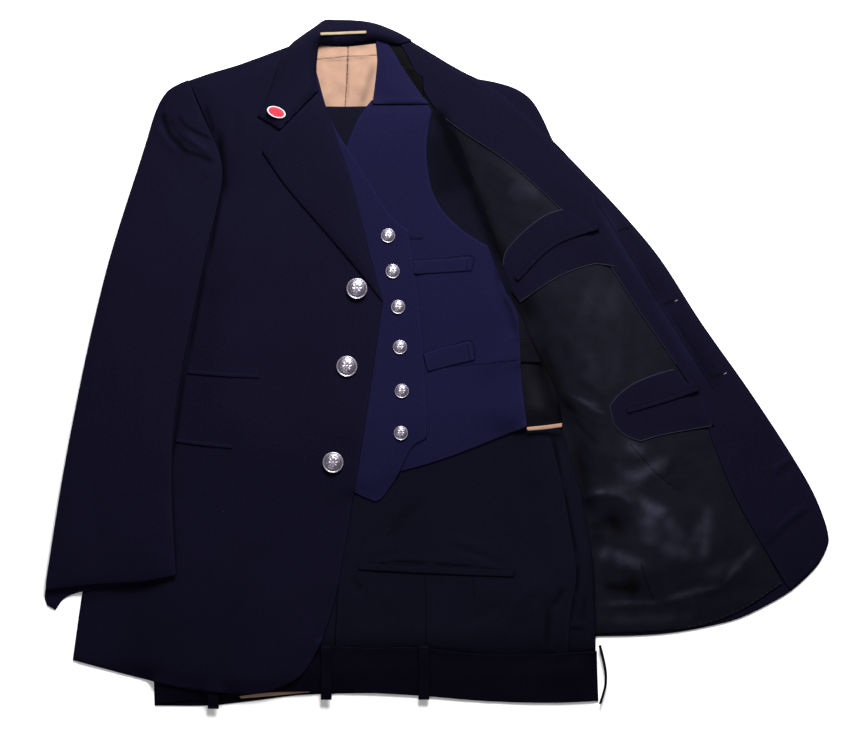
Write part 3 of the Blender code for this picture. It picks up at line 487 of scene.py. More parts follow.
def smooth_outline(marks, pitch):
    """Points about a pitch apart on a curve through the marks, with the corners kept."""
    count = len(marks)
    before = marks - np.roll(marks, 1, axis=0)
    after = np.roll(marks, -1, axis=0) - marks
    turn = np.arctan2(before[:, 0] * after[:, 1] - before[:, 1] * after[:, 0],
                      (before * after).sum(axis=1))
    sharp = np.abs(turn) > CORNER_TURN
    length = np.linalg.norm(after, axis=1)
    slope = (after + before) / (length + np.roll(length, 1))[:, None]
    out = []
    for i in range(count):
        j = (i + 1) % count
        direct = after[i] / length[i]
        start = (direct if sharp[i] else slope[i]) * length[i]
        stop = (direct if sharp[j] else slope[j]) * length[i]
        steps = max(1, int(round(length[i] / pitch)))
        out += [hermite(t, marks[i], marks[j], start, stop) for t in np.arange(steps) / steps]
    return np.array(out)


lapel = Blank("coat_lapel")
print("lapel:", len(lapel.points), "points, outline", len(lapel.outline))

# %% [markdown]
# ## Filling an outline
# Cloth needs an even mesh to fold well.  The outline gets two rings just inside it, where the
# edge rounds over, then a lattice of points in rows set off by half a step.

# %% Points inside an outline
EDGE_RINGS = (0.55, 1.4)     # mm inside the edge
ROUND_EDGE = EDGE_RINGS[-1]
BLOCK = 4000


def segment_distance(points, start, stop):
    """Distance from the points to the nearest of many short segments, by blocks."""
    best = np.full(len(points), 1e9)
    run = stop - start
    square = np.maximum((run ** 2).sum(axis=1), 1e-9)
    for low in range(0, len(points), BLOCK):
        block = points[low:low + BLOCK]
        rel = block[:, None, :] - start[None, :, :]
        share = np.clip((rel * run[None]).sum(axis=2) / square[None], 0, 1)
        gap = rel - share[:, :, None] * run[None]
        best[low:low + BLOCK] = np.sqrt((gap ** 2).sum(axis=2).min(axis=1))
    return best


def inside(points, loop):
    """True for the points within the outline."""
    found = np.zeros(len(points), bool)
    ends = np.roll(loop, -1, axis=0)
    for (ax, ay), (bx, by) in zip(loop, ends):
        if ay == by:
            continue
        spans = (points[:, 1] > ay) != (points[:, 1] > by)
        cross = ax + (points[:, 1] - ay) * (bx - ax) / (by - ay)
        found ^= spans & (points[:, 0] < cross)
    return found


def inward(loop):
    """The unit direction into the outline at each of its points."""
    tangent = np.roll(loop, -1, axis=0) - np.roll(loop, 1, axis=0)
    tangent /= np.maximum(np.linalg.norm(tangent, axis=1), 1e-9)[:, None]
    return np.stack([-tangent[:, 1], tangent[:, 0]], axis=1)


def lattice(loop, pitch):
    """Rows of points, each set off by half a step from the last."""
    low, high = loop.min(axis=0), loop.max(axis=0)
    rise = pitch * math.sqrt(0.75)
    rows = int((high[1] - low[1]) / rise) + 1
    columns = int((high[0] - low[0]) / pitch) + 2
    i, j = np.meshgrid(np.arange(columns), np.arange(rows))
    x = low[0] + pitch * (i + 0.5 * (j % 2))
    y = low[1] + rise * (j + 0.4)
    return np.stack([x.ravel(), y.ravel()], axis=1)


print("edge rings:", EDGE_RINGS, "mm inside the edge")

# %% [markdown]
# The points could be joined by filling the outline and subdividing it, which gives long thin
# triangles that fold badly.  A Delaunay triangulation makes them as even as they can be.  Seams
# and creases bring points of their own, and the lattice keeps clear of them.


# %% Fill an outline with triangles
def fill(loop, pitch, extra):
    """Plan points and triangles over the outline; the outline's points come first."""
    groups = [loop]
    step = inward(loop)
    for ring in EDGE_RINGS:
        moved = loop + step * ring
        keep = segment_distance(moved, loop, np.roll(loop, -1, axis=0)) > 0.9 * ring
        groups.append(moved[keep & inside(moved, loop)])
    if len(extra):
        keep = segment_distance(extra, loop, np.roll(loop, -1, axis=0)) > 0.5
        groups.append(extra[keep & inside(extra, loop)])
    grid = lattice(loop, pitch)
    grid = grid[inside(grid, loop)]
    margin = ROUND_EDGE + 0.5 * pitch
    grid = grid[segment_distance(grid, loop, np.roll(loop, -1, axis=0)) > margin]
    if len(extra):
        cells = set(map(tuple, np.floor(extra / (0.5 * pitch)).astype(int)))
        near = [tuple(cell) in cells for cell in np.floor(grid / (0.5 * pitch)).astype(int)]
        grid = grid[~np.array(near)]
    groups.append(grid)
    points = np.concatenate(groups)
    made = delaunay_2d_cdt([Vector(p) for p in points], [], [list(range(len(loop)))], 1, 1e-4)
    spots = np.array([tuple(v) for v in made[0]])
    order = np.zeros(len(points), int)
    for new, olds in enumerate(made[3]):
        for old in olds:
            order[old] = new
    faces = np.array([face for face in made[2]])
    a, b, c = (spots[faces[:, k]] for k in range(3))
    turn = (b[:, 0] - a[:, 0]) * (c[:, 1] - a[:, 1]) - (b[:, 1] - a[:, 1]) * (c[:, 0] - a[:, 0])
    faces[turn < 0] = faces[turn < 0][:, ::-1]
    return spots, faces, order[:len(loop)]


loop = smooth_outline(lapel.outline, 4.0)
spots, faces, rim = fill(loop, 4.0, np.zeros((0, 2)))
print("lapel filled:", len(spots), "points,", len(faces), "triangles")

# %% [markdown]
# ## The pile
# The pieces are laid from the table up, as they lie in the picture.  A height map remembers the
# top of everything laid so far.  The next piece asks it how high its underside must be, a little
# way round each point as well, so that cloth bridges over the edges under it and never sinks in.


# %% The height map
LAYER_GAP = 0.15             # mm


class Pile:
    """The height of the top of the pile, in mm, on a fine square map."""

    def __init__(self, pitch=1.5, half=(470.0, 420.0)):
        self.pitch = pitch
        self.half = np.array(half)
        size = (2 * self.half / pitch).astype(int)
        self.height = np.zeros((size[1], size[0]))

    def put(self, spots, faces, top):
        """Raise the map to a piece's upper face, by samples over each triangle."""
        corners = spots[faces]
        span = np.abs(corners.max(axis=1) - corners.min(axis=1)).max(axis=1)
        steps = np.maximum(2, np.ceil(1.3 * span / self.pitch).astype(int))
        for step in np.unique(steps):
            some = faces[steps == step]
            i, j = np.meshgrid(np.arange(step + 1), np.arange(step + 1))
            keep = i + j <= step
            weights = np.stack([i[keep], j[keep], step - i[keep] - j[keep]]) / step
            flat = np.einsum("km,nkd->nmd", weights, spots[some]).reshape(-1, 2)
            level = np.einsum("km,nk->nm", weights, top[some]).ravel()
            cell = ((flat + self.half) / self.pitch).astype(int)
            np.maximum.at(self.height, (cell[:, 1], cell[:, 0]), level)

    def under(self, spots, reach):
        """The highest part of the pile within about the reach of each point."""
        field = self.height
        for step in range(int(round(reach / self.pitch))):
            wide = field.copy()
            ways = ((1, 0), (-1, 0), (0, 1), (0, -1))
            if step % 2:
                ways += ((1, 1), (1, -1), (-1, 1), (-1, -1))
            for way in ways:
                wide = np.maximum(wide, np.roll(field, way, (0, 1)))
            field = wide
        cell = ((spots + self.half) / self.pitch).astype(int)
        return field[cell[:, 1], cell[:, 0]]


PILE = Pile()
print("height map", PILE.height.shape)

# %% [markdown]
# ## Folds, seams and edge lines
# A fold is a soft ridge along a bowed line that dies away at both ends; a trough is one with a
# negative height.  A shade is the same kind of line, and is painted shade that darkens the cloth
# where little light gets in; below 0 it is a painted highlight that makes it paler, as on a lit
# or gleaming fold.  Each is placed from a short table for each piece.


# %% Tables of soft lines
def table(text):
    """Rows of a text table as dictionaries under its column names."""
    lines = [line.split() for line in text.strip().splitlines()]
    rows = []
    for line in lines[1:]:
        row = dict(zip(lines[0], line))
        for key, value in row.items():
            if value.lstrip("-").replace(".", "", 1).isdigit():
                row[key] = float(value)
        rows.append(row)
    return rows


def bowed(row, steps=10):
    """Points along a row's line from x1 y1 to x2 y2, bowed sideways in the middle."""
    a = np.array([row["x1"], row["y1"]])
    b = np.array([row["x2"], row["y2"]])
    run = b - a
    middle = (a + b) / 2 + row.get("bow", 0.0) * 2 * np.array([-run[1], run[0]]) / np.linalg.norm(run)
    t = np.linspace(0, 1, steps + 1)[:, None]
    return (1 - t) ** 2 * a + 2 * t * (1 - t) * middle + t ** 2 * b


def reach_of(spots, row):
    """Distance from a row's line at each point, and how far along the line that is."""
    line = bowed(row)
    best = np.full(len(spots), 1e9)
    share = np.zeros(len(spots))
    for k in range(len(line) - 1):
        run = line[k + 1] - line[k]
        t = np.clip(((spots - line[k]) @ run) / (run @ run), 0, 1)
        gap = np.linalg.norm(spots - line[k] - t[:, None] * run, axis=1)
        closer = gap < best
        best = np.where(closer, gap, best)
        share = np.where(closer, (k + t) / (len(line) - 1), share)
    return best, share


def table_sum(spots, rows, column):
    """What a table of soft lines adds up to at each point; each dies away at its ends."""
    total = np.zeros(len(spots))
    for row in rows:
        away, share = reach_of(spots, row)
        taper = np.clip(np.minimum(share, 1 - share) * 4.0 + 0.12, 0, 1)
        total += row[column] * taper * np.exp(-(away / row["width"]) ** 2)
    return total


print("a table reads as", table("""
    x1  y1  bow
     0   5  0.5
"""))

# %% [markdown]
# A seam is a narrow groove, and a dart or a pressed crease is drawn like one.  Topstitching runs
# a set distance inside an edge.  A curve object could carry them, but the cloth needs them as
# points before it has a mesh, so they are worked out here, smooth and evenly spaced.


# %% Seam lines and edge lines
def resample(line, pitch):
    """The same line with points a pitch apart."""
    run = np.linalg.norm(np.diff(line, axis=0), axis=1)
    along = np.concatenate([[0], np.cumsum(run)])
    count = max(2, int(round(along[-1] / pitch)) + 1)
    even = np.linspace(0, along[-1], count)
    return np.stack([np.interp(even, along, line[:, 0]), np.interp(even, along, line[:, 1])], axis=1)


def through(marks, pitch=2.5):
    """A smooth open line through a few marks."""
    marks = np.array(marks, float)
    slope = np.gradient(marks, axis=0)
    t = np.linspace(0, 1, 12, endpoint=False)[:, None]
    out = [hermite(t, marks[k], marks[k + 1], slope[k], slope[k + 1]) for k in range(len(marks) - 1)]
    out.append(marks[-1:])
    return resample(np.concatenate(out), pitch)


def seam_lines(rows):
    """The lines of a table of marks, by name, as smooth lines."""
    names = dict.fromkeys(row["line"] for row in rows)
    return {name: through([(row["x"], row["y"]) for row in rows if row["line"] == name])
            for name in names}


def edge_run(loop, start, stop, inset, pitch=2.5):
    """The line inside the outline, anticlockwise from near start to near stop."""
    first = int(np.argmin(np.linalg.norm(loop - np.array(start), axis=1)))
    last = int(np.argmin(np.linalg.norm(loop - np.array(stop), axis=1)))
    count = (last - first) % len(loop)
    picks = (first + np.arange(count + 1)) % len(loop)
    line = loop[picks] + inward(loop)[picks] * inset
    return resample(line, pitch)


bend = through([(0.0, 0.0), (50.0, 20.0), (100.0, 0.0)])
print("a bend through three marks:", len(bend), "points")

# %% [markdown]
# ## Laying a piece
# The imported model's facets are too coarse for cloth.  Evening out the height between neighbours
# takes them away, as a cloth's own stiffness would.  A Smooth modifier does the same to a whole
# mesh, but here it has to stop wherever the cloth would sink into what it lies on.

# %% Even out a height
RIPPLE = 55.0                # mm


def links(count, faces):
    """Pairs of joined points, and how many neighbours each point has."""
    pairs = np.concatenate([faces[:, [0, 1]], faces[:, [1, 2]], faces[:, [2, 0]]])
    pairs = np.unique(np.concatenate([pairs, pairs[:, ::-1]]), axis=0)
    tally = np.maximum(np.bincount(pairs[:, 0], minlength=count), 1)
    return pairs, tally


def relax(level, pairs, tally, rounds, share=0.5):
    for _ in range(rounds):
        mean = np.bincount(pairs[:, 0], level[pairs[:, 1]], minlength=len(level)) / tally
        level = level + share * (mean - level)
    return level


def spread_known(level, pairs, rounds=6):
    """Give points without a height the mean of their neighbours that have one."""
    for _ in range(rounds):
        known = ~np.isnan(level)
        if known.all():
            break
        use = known[pairs[:, 1]]
        total = np.bincount(pairs[use, 0], level[pairs[use, 1]], minlength=len(level))
        tally = np.bincount(pairs[use, 0], minlength=len(level))
        level = np.where(~known & (tally > 0), total / np.maximum(tally, 1), level)
    return np.nan_to_num(level, nan=0.0)


def ripple(spots):
    """Slow uneven waves from -1 to 1, the same each run."""
    return np.array([noise.noise(Vector((x / RIPPLE, y / RIPPLE, 0.0))) for x, y in spots])


print("links of the lapel:", len(links(len(spots), faces)[0]))

# %% [markdown]
# Real cloth has two faces and a thin edge.  A Solidify modifier would give a square edge, so the
# wall is built from both faces at once and they meet along the outline.  A map of the grain is
# made for the weave, and the cut is measured in plan, along and across that grain.

# %% Walls, grain and cuts
NARROWEST_CUT = 10.5         # a narrow strip is cut wider than it shows, with its turnings
PIECES = {}
CUTS = {}


def shell(name, spots, faces, rim, top, under, marks):
    """A closed wall whose upper and lower faces meet along the outline."""
    count = len(spots)
    on_rim = np.zeros(count, bool)
    on_rim[rim] = True
    lower = np.arange(count)
    lower[~on_rim] = count + np.arange((~on_rim).sum())
    plan = np.concatenate([spots, spots[~on_rim]])
    level = np.concatenate([np.where(on_rim, (top + under) / 2, top), under[~on_rim]])
    all_faces = np.concatenate([faces, lower[faces[:, ::-1]]])
    mesh = bpy.data.meshes.new(name)
    mesh.from_pydata((np.column_stack([plan, level]) * MM).tolist(), [], all_faces.tolist())
    for key, values in marks.items():
        attribute = mesh.attributes.new(key, "FLOAT", "POINT")
        attribute.data.foreach_set("value", np.concatenate([values, values[~on_rim]]).astype(np.float32))
    mesh.shade_smooth()
    return mesh


def grain_map(mesh, degrees):
    """A UV map in metres with V along the cloth's grain."""
    turn = math.radians(degrees)
    corner = np.empty(len(mesh.loops), np.int32)
    mesh.loops.foreach_get("vertex_index", corner)
    place = np.empty(len(mesh.vertices) * 3, np.float32)
    mesh.vertices.foreach_get("co", place)
    place = place.reshape(-1, 3)[corner]
    across = place[:, 0] * math.cos(turn) + place[:, 1] * math.sin(turn)
    along = -place[:, 0] * math.sin(turn) + place[:, 1] * math.cos(turn)
    layer = mesh.uv_layers.new(name="grain")
    layer.data.foreach_set("uv", np.column_stack([across, along]).astype(np.float32).ravel())


class Piece:
    """A finished piece of cloth: its outline and its upper face, in mm."""

    def __init__(self, loop, spots, faces, top):
        self.loop = loop
        self.tree = BVHTree.FromPolygons([(x, y, z) for (x, y), z in zip(spots, top)],
                                         [tuple(int(k) for k in face) for face in faces])

    def on(self, line, lift):
        """A plan line laid on the cloth, as points in metres."""
        out = []
        for x, y in line:
            hit = self.tree.ray_cast(Vector((x, y, RAY_FROM)), DOWN)
            if hit[0] is not None:
                out.append((x * MM, y * MM, (hit[0].z + lift) * MM))
        return out


def declare(thing, node, spots, faces, grain):
    """Keep the size that the piece was cut to, from its own plan; hang it on the set, hide the part."""
    turn = math.radians(grain)
    across = spots[:, 0] * math.cos(turn) + spots[:, 1] * math.sin(turn)
    along = -spots[:, 0] * math.sin(turn) + spots[:, 1] * math.cos(turn)
    a, b, c = (spots[faces[:, k]] for k in range(3))
    area = 0.5 * ((b[:, 0] - a[:, 0]) * (c[:, 1] - a[:, 1])
                  - (b[:, 1] - a[:, 1]) * (c[:, 0] - a[:, 0])).sum()
    width = max(np.ptp(across), NARROWEST_CUT)
    length = max(np.ptp(along), NARROWEST_CUT)
    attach(thing, "root")
    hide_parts(node)
    area * MM * MM
    CUTS[node] = (width, length, area)


print("narrowest cut:", NARROWEST_CUT, "mm")

# %% [markdown]
# One function lays every piece of cloth: it reads the blank, fills its outline, takes the height
# from the frame, adds the folds, settles on the pile, presses in the seams and closes a thin
# wall with rounded edges.  Near its edges a piece hugs what it lies on.

# %% Lay a piece of cloth
GROOVE_HALF = 1.0            # mm, as are the next three
FLAT_EDGE = 12.0
LIT_AND_WORN_EDGE = 3.5
DARK_EDGE = 1.3


def lay_cloth(node, look, thick, pitch=4.0, grain=0.0, smooth=14, hug=12.0, reach=3.0,
              folds=(), shades=(), seams=(), waves=0.0, body=False, soften=6, painted_edge_shade=0.0,
              slot=None):
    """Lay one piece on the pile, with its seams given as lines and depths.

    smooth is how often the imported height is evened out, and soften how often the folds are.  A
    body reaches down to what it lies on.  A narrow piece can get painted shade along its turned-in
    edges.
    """
    blank = Blank(node)
    loop = smooth_outline(blank.outline, 0.85 * pitch)
    extra = np.zeros((0, 2))
    for line, depth in seams:
        side = np.gradient(line, axis=0)
        side = np.stack([-side[:, 1], side[:, 0]], axis=1)
        side /= np.maximum(np.linalg.norm(side, axis=1), 1e-9)[:, None]
        extra = np.concatenate([extra, line, line + GROOVE_HALF * side, line - GROOVE_HALF * side])
    spots, faces, rim = fill(loop, pitch, extra)
    pairs, tally = links(len(spots), faces)
    level = relax(spread_known(blank.height(spots), pairs), pairs, tally, smooth)
    away = segment_distance(spots, loop, np.roll(loop, -1, axis=0))
    need = PILE.under(spots, reach)
    need = np.where(need > 0, need + LAYER_GAP, 0) + thick
    soft_need = relax(need, pairs, tally, 6)
    near = np.exp(-(away / hug) ** 2) if hug else 0.0
    level = level * (1 - near) + np.minimum(level, soft_need) * near
    fade = np.clip(away / FLAT_EDGE, 0, 1)
    if len(folds):
        level = level + table_sum(spots, folds, "height") * (0.25 + 0.75 * fade)
    if waves:
        level = level + waves * ripple(spots) * fade
    for _ in range(soften):
        level = np.maximum(relax(level, pairs, tally, 1), need)
    under = np.minimum(level, need) - thick if body else level - thick
    top = level.copy()
    # Seam grooves are also marked for painted shade.
    line_mark = np.zeros(len(spots))
    for line, depth in seams:
        gap = segment_distance(spots, line[:-1], line[1:])
        press = np.clip(1 - gap / GROOVE_HALF, 0, 1)
        top -= depth * press
        line_mark = np.maximum(line_mark, press)
    bare = np.clip(1 - away / ROUND_EDGE, 0, 1)
    lost = 0.5 * thick * (1 - np.sqrt(1 - bare ** 2))
    top -= lost
    under += lost
    # Painted highlight along the rim, for light on the rounded edge, and wear.
    rim_highlight_and_wear = np.clip(1 - away / LIT_AND_WORN_EDGE, 0, 1) ** 2
    # Painted shade along the turned-in edges of a narrow piece.
    line_mark = np.maximum(line_mark, painted_edge_shade * np.clip(1 - away / DARK_EDGE, 0, 1))
    shade = np.clip(table_sum(spots, shades, "dark"), -0.9, 0.95)
    mesh = shell(node + "_cloth", spots, faces, rim, top, under,
                 {"line": line_mark, "edge": rim_highlight_and_wear, "shade": shade})
    grain_map(mesh, grain)
    mesh.materials.append(MATERIALS[look])
    declare(show(node + "_cloth", mesh), node, spots, faces, grain)
    PILE.put(spots, faces, top)
    PIECES[node] = Piece(loop, spots, faces, top)
    print(f"{node}: {2 * len(faces)} triangles, top {top.max():.1f} mm")


print("grooves are", 2 * GROOVE_HALF, "mm wide")

# %% [markdown]
# ## The cloths
# A uniform coat is of heavy serge with an interlining behind its fronts.  The waistcoat and the
# trousers are thinner, and the linings are satin.  Narrow strips such as jets and belt loops
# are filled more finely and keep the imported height, because evening it out would sink them.

# %% Cloth sizes
SERGE = 2.2                  # mm
SUITING = 1.6
TROUSER_CLOTH = 1.5
SATEEN = 1.0
NARROW = {"pitch": 2.0, "smooth": 2, "hug": 0.0, "reach": 1.5}
print("thickest cloth:", max(SERGE, SUITING, TROUSER_CLOTH, SATEEN), "mm")

# %% [markdown]
# Seams, darts and pressed creases inside a piece are lines through a few marks.  A bump in the
# material would be flat in the mesh, so the mesh gets points along each line instead, and the
# groove is real and sharp.

# %% Seams inside the pieces
SEAMS = table("""
    line                  x       y
    beige_centre      -97.4   356.4
    beige_centre      -97.4   337.7
    beige_centre      -98.5   312.4
    beige_centre     -100.7   277.2
    beige_yoke       -131.5   334.4
    beige_yoke        -97.4   337.7
    beige_yoke        -66.6   338.8
    facing_crease     175.5   177.1
    facing_crease     193.1   149.6
    facing_crease     242.6    68.2
    facing_crease       302   -25.3
    lining_dart       212.9   -89.1
    lining_dart       234.9  -114.4
    lining_dart       262.4  -138.6
    lining_seam       223.9  -217.8
    lining_seam       229.4  -237.6
    lining_seam       237.1  -257.4
    vest_dart          10.5    -3.3
    vest_dart          50.1       0
    vest_dart          91.9     4.4
    back_dart         -12.7  -234.3
    back_dart         -11.6  -270.6
    back_dart         -11.6  -306.9
    small_dart         40.2  -236.5
    small_dart         41.2  -255.2
    upper_welt        -25.9   112.9
    upper_welt          6.1   115.1
    upper_welt         38.6   117.7
    upper_welt         38.2   100.5
    lower_welt        -14.4    11.7
    lower_welt         10.5      18
    lower_welt         37.5    25.1
    lower_welt         42.4     3.7
""")
SEAM = seam_lines(SEAMS)
print("seams:", list(SEAM))

# %% [markdown]
# ## The coat's back, left sleeve and opened front
# The back lies on the table with the left sleeve on it, and the left front is thrown open over
# them, so its inside shows: facing, lining and two pockets on patches of the coat's cloth.  They
# could be draped by a cloth simulation.  Laying each on the pile gives the same result each run
# and keeps every piece at its place.

# %% Back, left sleeve and opened front
lay_cloth("coat_back", "coat_serge", SERGE, pitch=8.0, smooth=4)
lay_cloth("coat_sleeve_left_under", "coat_serge", SERGE, pitch=8.0, grain=27, smooth=4)
lay_cloth("coat_sleeve_left_top", "coat_serge", SERGE, pitch=6.0, grain=27, smooth=6, hug=0, body=True)
lay_cloth("coat_front_left", "coat_serge", SERGE, pitch=5.0, grain=30, smooth=16)

# %% [markdown]
# A coat's lining is cut fuller than the coat, so it wrinkles.  Here it has a soft hollow beside
# the trousers, short folds above and right of it, and a pressed pleat along the hem.  Its valley
# beside the waistcoat is painted nearly black, as painted shade.  Noise would wrinkle it evenly
# all over, so each fold is a row of its own, with a pale row on it as a painted gleam.

# %% Lining
LINING_FOLDS = table("""
     x1    y1   x2    y2  bow  width  height
    156  -148  215  -141    3    4.5       3
    211  -146  255  -176    3      5     2.2
    215  -128  261  -101   -2      6     1.7
    206   -84  228  -102    0    4.5     1.5
    171  -180  211  -176    0      7      -2
    178  -211  226  -224    4      6     2.6
    225  -156  235  -202    3      6     2.2
    178  -244  226  -244    0    4.5    -1.4
    177  -263  246  -261    0      3     1.3
    246  -261  314  -244    2      3     1.2
    314  -244  353  -199    3      3     0.9
    292  -220  299  -155    0      6     1.2
    142   -46  176   -86   -2      4    -1.3
    132   -37  184   -62   -4      3    -1.6
    156   -13  186   -37    0    4.5     1.3
    169    21  217    21    0     24     0.6
    136    37  163    -9    0      8       1
    235  -117  279  -150    0      5    -0.8
    248  -199  290  -216    0      6     0.9
     70   213  119   175    0      8     1.2
""")
# Painted shade in the valley and hollows, and a painted gleam on the folds below 0.
LINING_SHADES = table("""
     x1    y1   x2    y2  bow  width   dark
    -53   367    4   277    0     20   0.93
    255   -84  279  -139    0     14    0.2
    208  -231  224  -251    0      9    0.5
    184  -163  202  -194    4     11   0.85
    171  -172  180  -195    0      7    0.6
    290  -260  356  -232    0      7   0.25
     70   125  108    37    0     12   0.85
    108    37  152   -73    0      9    0.8
    152   -73  171  -172    0      8    0.7
     -1   290   35   202    0     11   0.92
     32   207   76   106    0     10   0.92
    180  -242  224  -249    0      6    0.8
    142   -44  186   -69   -3    2.6   0.55
    149   -55  180   -91   -2    3.4    0.5
    158   -79  173  -108    0      4   0.35
    136   -26  182   -46   -4    1.8   -0.3
    156   -35  186   -54   -3    1.8   -0.3
    152    70  207    70    0     20  -0.12
    158    -1  207    -1    0     20  -0.08
    204  -128  259  -103   -2      8  -0.36
    207   -85  227  -101    0      6  -0.44
    193  -108  224  -128    0      6   -0.2
    160  -146  186  -140    2    2.6  -0.42
    186  -140  215  -150    2    3.2  -0.36
    220  -155  250  -167    3      7  -0.62
    226  -163  235  -202    3      9  -0.42
    176  -207  204  -211    0      8  -0.34
    193  -216  228  -222    2      7   -0.4
    250  -165  272  -194   -3      7  -0.28
    242  -199  279  -211    0      8  -0.24
    178  -263  246  -261    0    3.2  -0.32
    246  -261  314  -244    2    3.4   -0.3
    314  -244  353  -199    3    3.2  -0.28
    290  -232  339  -216    0      8  -0.16
    292  -220  299  -155    0      6   -0.3
    279  -199  290  -172    0      6  -0.14
    180  -282  279  -279    0      6  -0.14
     79   197  114   180    0     10  -0.16
    -49   330  -23   323   -2      3   -0.4
""")
lay_cloth("coat_lining_left", "coat_lining", SATEEN, pitch=2.6, grain=24, smooth=12,
          folds=LINING_FOLDS, shades=LINING_SHADES, waves=0.35, soften=4,
          seams=[(SEAM["lining_dart"], 0.3), (SEAM["lining_seam"], 0.3)])

# %% [markdown]
# The facing is the coat's own cloth turned to the inside.  It has a pressed crease where the
# lapel would roll, and two short bends near the curved front edge.  The inner pockets are slits
# with two jets, on patches of the same cloth.  Each patch and each pair of jets is a piece of
# its own, as a tailor cuts them, so their edges stand up from the facing.

# %% Facing and inner pockets
FACING_FOLDS = table("""
     x1    y1   x2    y2  bow  width  height
    169   180  233    79    2      7     1.5
    233    79  290   -13    0      7     1.4
    193   152  248    65    0      4      -1
    248    65  305   -29    0      4      -1
    372  -125  398  -103    2      6    -1.2
    362  -202  413  -158    4      7    -1.6
    339  -100  349  -128    0      4    -0.9
    343  -172  389  -194    0      9     1.1
    321   -84  338  -150    0      9     0.8
""")
# Painted shade in the valley and along the crease, and a painted highlight on the raised band.
FACING_SHADES = table("""
     x1    y1   x2    y2  bow  width   dark
     -1   285   28   219    0      8   0.85
     28   219   70   136    0      8    0.8
    195   150  250    66    0      3   0.42
    250    66  311   -31    0      3   0.45
    204   152  259    68    0      5   0.22
    259    68  318   -29    0      5   0.22
    362  -202  413  -158    4    3.6    0.5
    370  -125  398  -104    2      3   0.45
    177   175  236    75    0      6  -0.36
    236    75  290   -15    0      6  -0.34
    367  -194  406  -154    4    3.6  -0.25
    369  -117  391  -100    2      3  -0.22
""")
lay_cloth("coat_facing_left", "coat_serge", SUITING, pitch=3.6, grain=40, smooth=14,
          folds=FACING_FOLDS, shades=FACING_SHADES, soften=4,
          seams=[(SEAM["facing_crease"], 0.3)])
lay_cloth("coat_inner_pocket_upper", "coat_serge", SATEEN, pitch=3.0, grain=40, smooth=8)
lay_cloth("coat_inner_pocket_lower", "coat_serge", SATEEN, pitch=3.0, grain=40, smooth=8)
lay_cloth("coat_inner_jets_upper", "coat_serge", SATEEN, grain=-57, painted_edge_shade=1.0, **NARROW)
lay_cloth("coat_inner_jets_lower", "coat_serge", SATEEN, grain=-72, painted_edge_shade=1.0, **NARROW)

# %% [markdown]
# ## Trousers and waistcoat
# The trousers lie on their front inside the waistcoat, waist end down, so that the seat, the
# back pocket and the waistband come out below its hem.  Their folded legs are hidden, so one
# body stands in for all the layers and carries the cloth above at the right height.

# %% Waistcoat back and trouser legs
# Painted shade in the deep valley beside the armhole.
ARMHOLE_SHADES = table("""
     x1   y1   x2   y2  bow  width  dark
    -42  352   -3  273    0     20  0.95
     -1  284   22  235    0      7  0.95
     17  246   39  191    0      7  0.95
     34  205   76  101    0      7  0.95
      4  257   17  180    0     22   0.5
     75  112  123  -40    0     14  0.55
""")
VEST_BACK_FOLDS = table("""
      x1   y1    x2   y2  bow  width  height
    -117  323  -100  295    3      5       1
     -93  328   -75  295   -3      5       1
    -111  286  -102  312    0      4    -0.7
    -126  334  -117  282    0      5     0.8
""")
VEST_BACK_SHADES = table("""
      x1   y1    x2   y2  bow  width  dark
    -130  352   -67  352    0      5   0.4
    -130  279  -102  233    0      7  0.55
     -67  334   -84  277    0      4  0.35
     -98  338   -97  290    0    1.4   0.3
    -128  333   -71  336    0    1.4   0.3
""")
lay_cloth("vest_back", "vest_satin", SUITING, pitch=4.0, smooth=4, shades=ARMHOLE_SHADES)
lay_cloth("vest_back_lining", "vest_lining", SATEEN, pitch=2.6, smooth=8, waves=0.4, soften=3,
          folds=VEST_BACK_FOLDS, shades=VEST_BACK_SHADES,
          seams=[(SEAM["beige_centre"], 0.35), (SEAM["beige_yoke"], 0.35)])
lay_cloth("trousers_legs", "trouser_cloth", TROUSER_CLOTH, pitch=4.0, smooth=8, hug=0, body=True,
          shades=ARMHOLE_SHADES)
lay_cloth("waistband_front", "waistband", TROUSER_CLOTH, grain=90, smooth=8)

# %% [markdown]
# The seat shows the left back with its jetted pocket, two darts, and the folds that a folded
# seat gets beside its side seam.  The waistband is a straight strip cut along the cloth, so its
# grain runs round the waist, and the belt loops are sewn over it.  Three of them are alike, so
# a loop lays them.

# %% Trouser seat and waistband
TROUSER_SIDE_SHADES = table("""
     x1    y1   x2    y2  bow  width  dark
    127   -76  137  -130    0    2.2  0.85
    137  -130  155  -216    0    2.4  0.92
    155  -216  152  -253    0    2.6  0.92
    152  -253  142  -286    0    3.2  0.85
    128  -289  164  -290    0    1.8  0.95
    164  -249  158  -282    0      5   0.4
""")
SEAT_FOLDS = table("""
     x1    y1   x2    y2  bow  width  height
     10  -194   76  -216    5      5     1.6
    -53  -191  -18  -150    3      5    -1.2
    -82  -211  -40  -201    3      5     1.2
    -92  -234  -80  -251    0    3.5    -1.2
     54  -178   78  -216    3      4       1
    -62  -246  -42  -271    0      4     0.8
     32  -284   72  -266    0      5      -1
     86  -266  123  -235    3      6     1.6
    138  -244  123  -267    3    3.5    -2.2
    123  -267  120  -312    0      3    -2.2
    110  -260  105  -308    0      4     1.4
    132  -271  132  -310    0      4     1.4
     73  -304   92  -260    4      4     0.9
     75  -117   92  -194    0      9     0.8
     -7  -117    2  -150    0      9    -0.7
    119  -117  132  -172    0      5      -1
""")
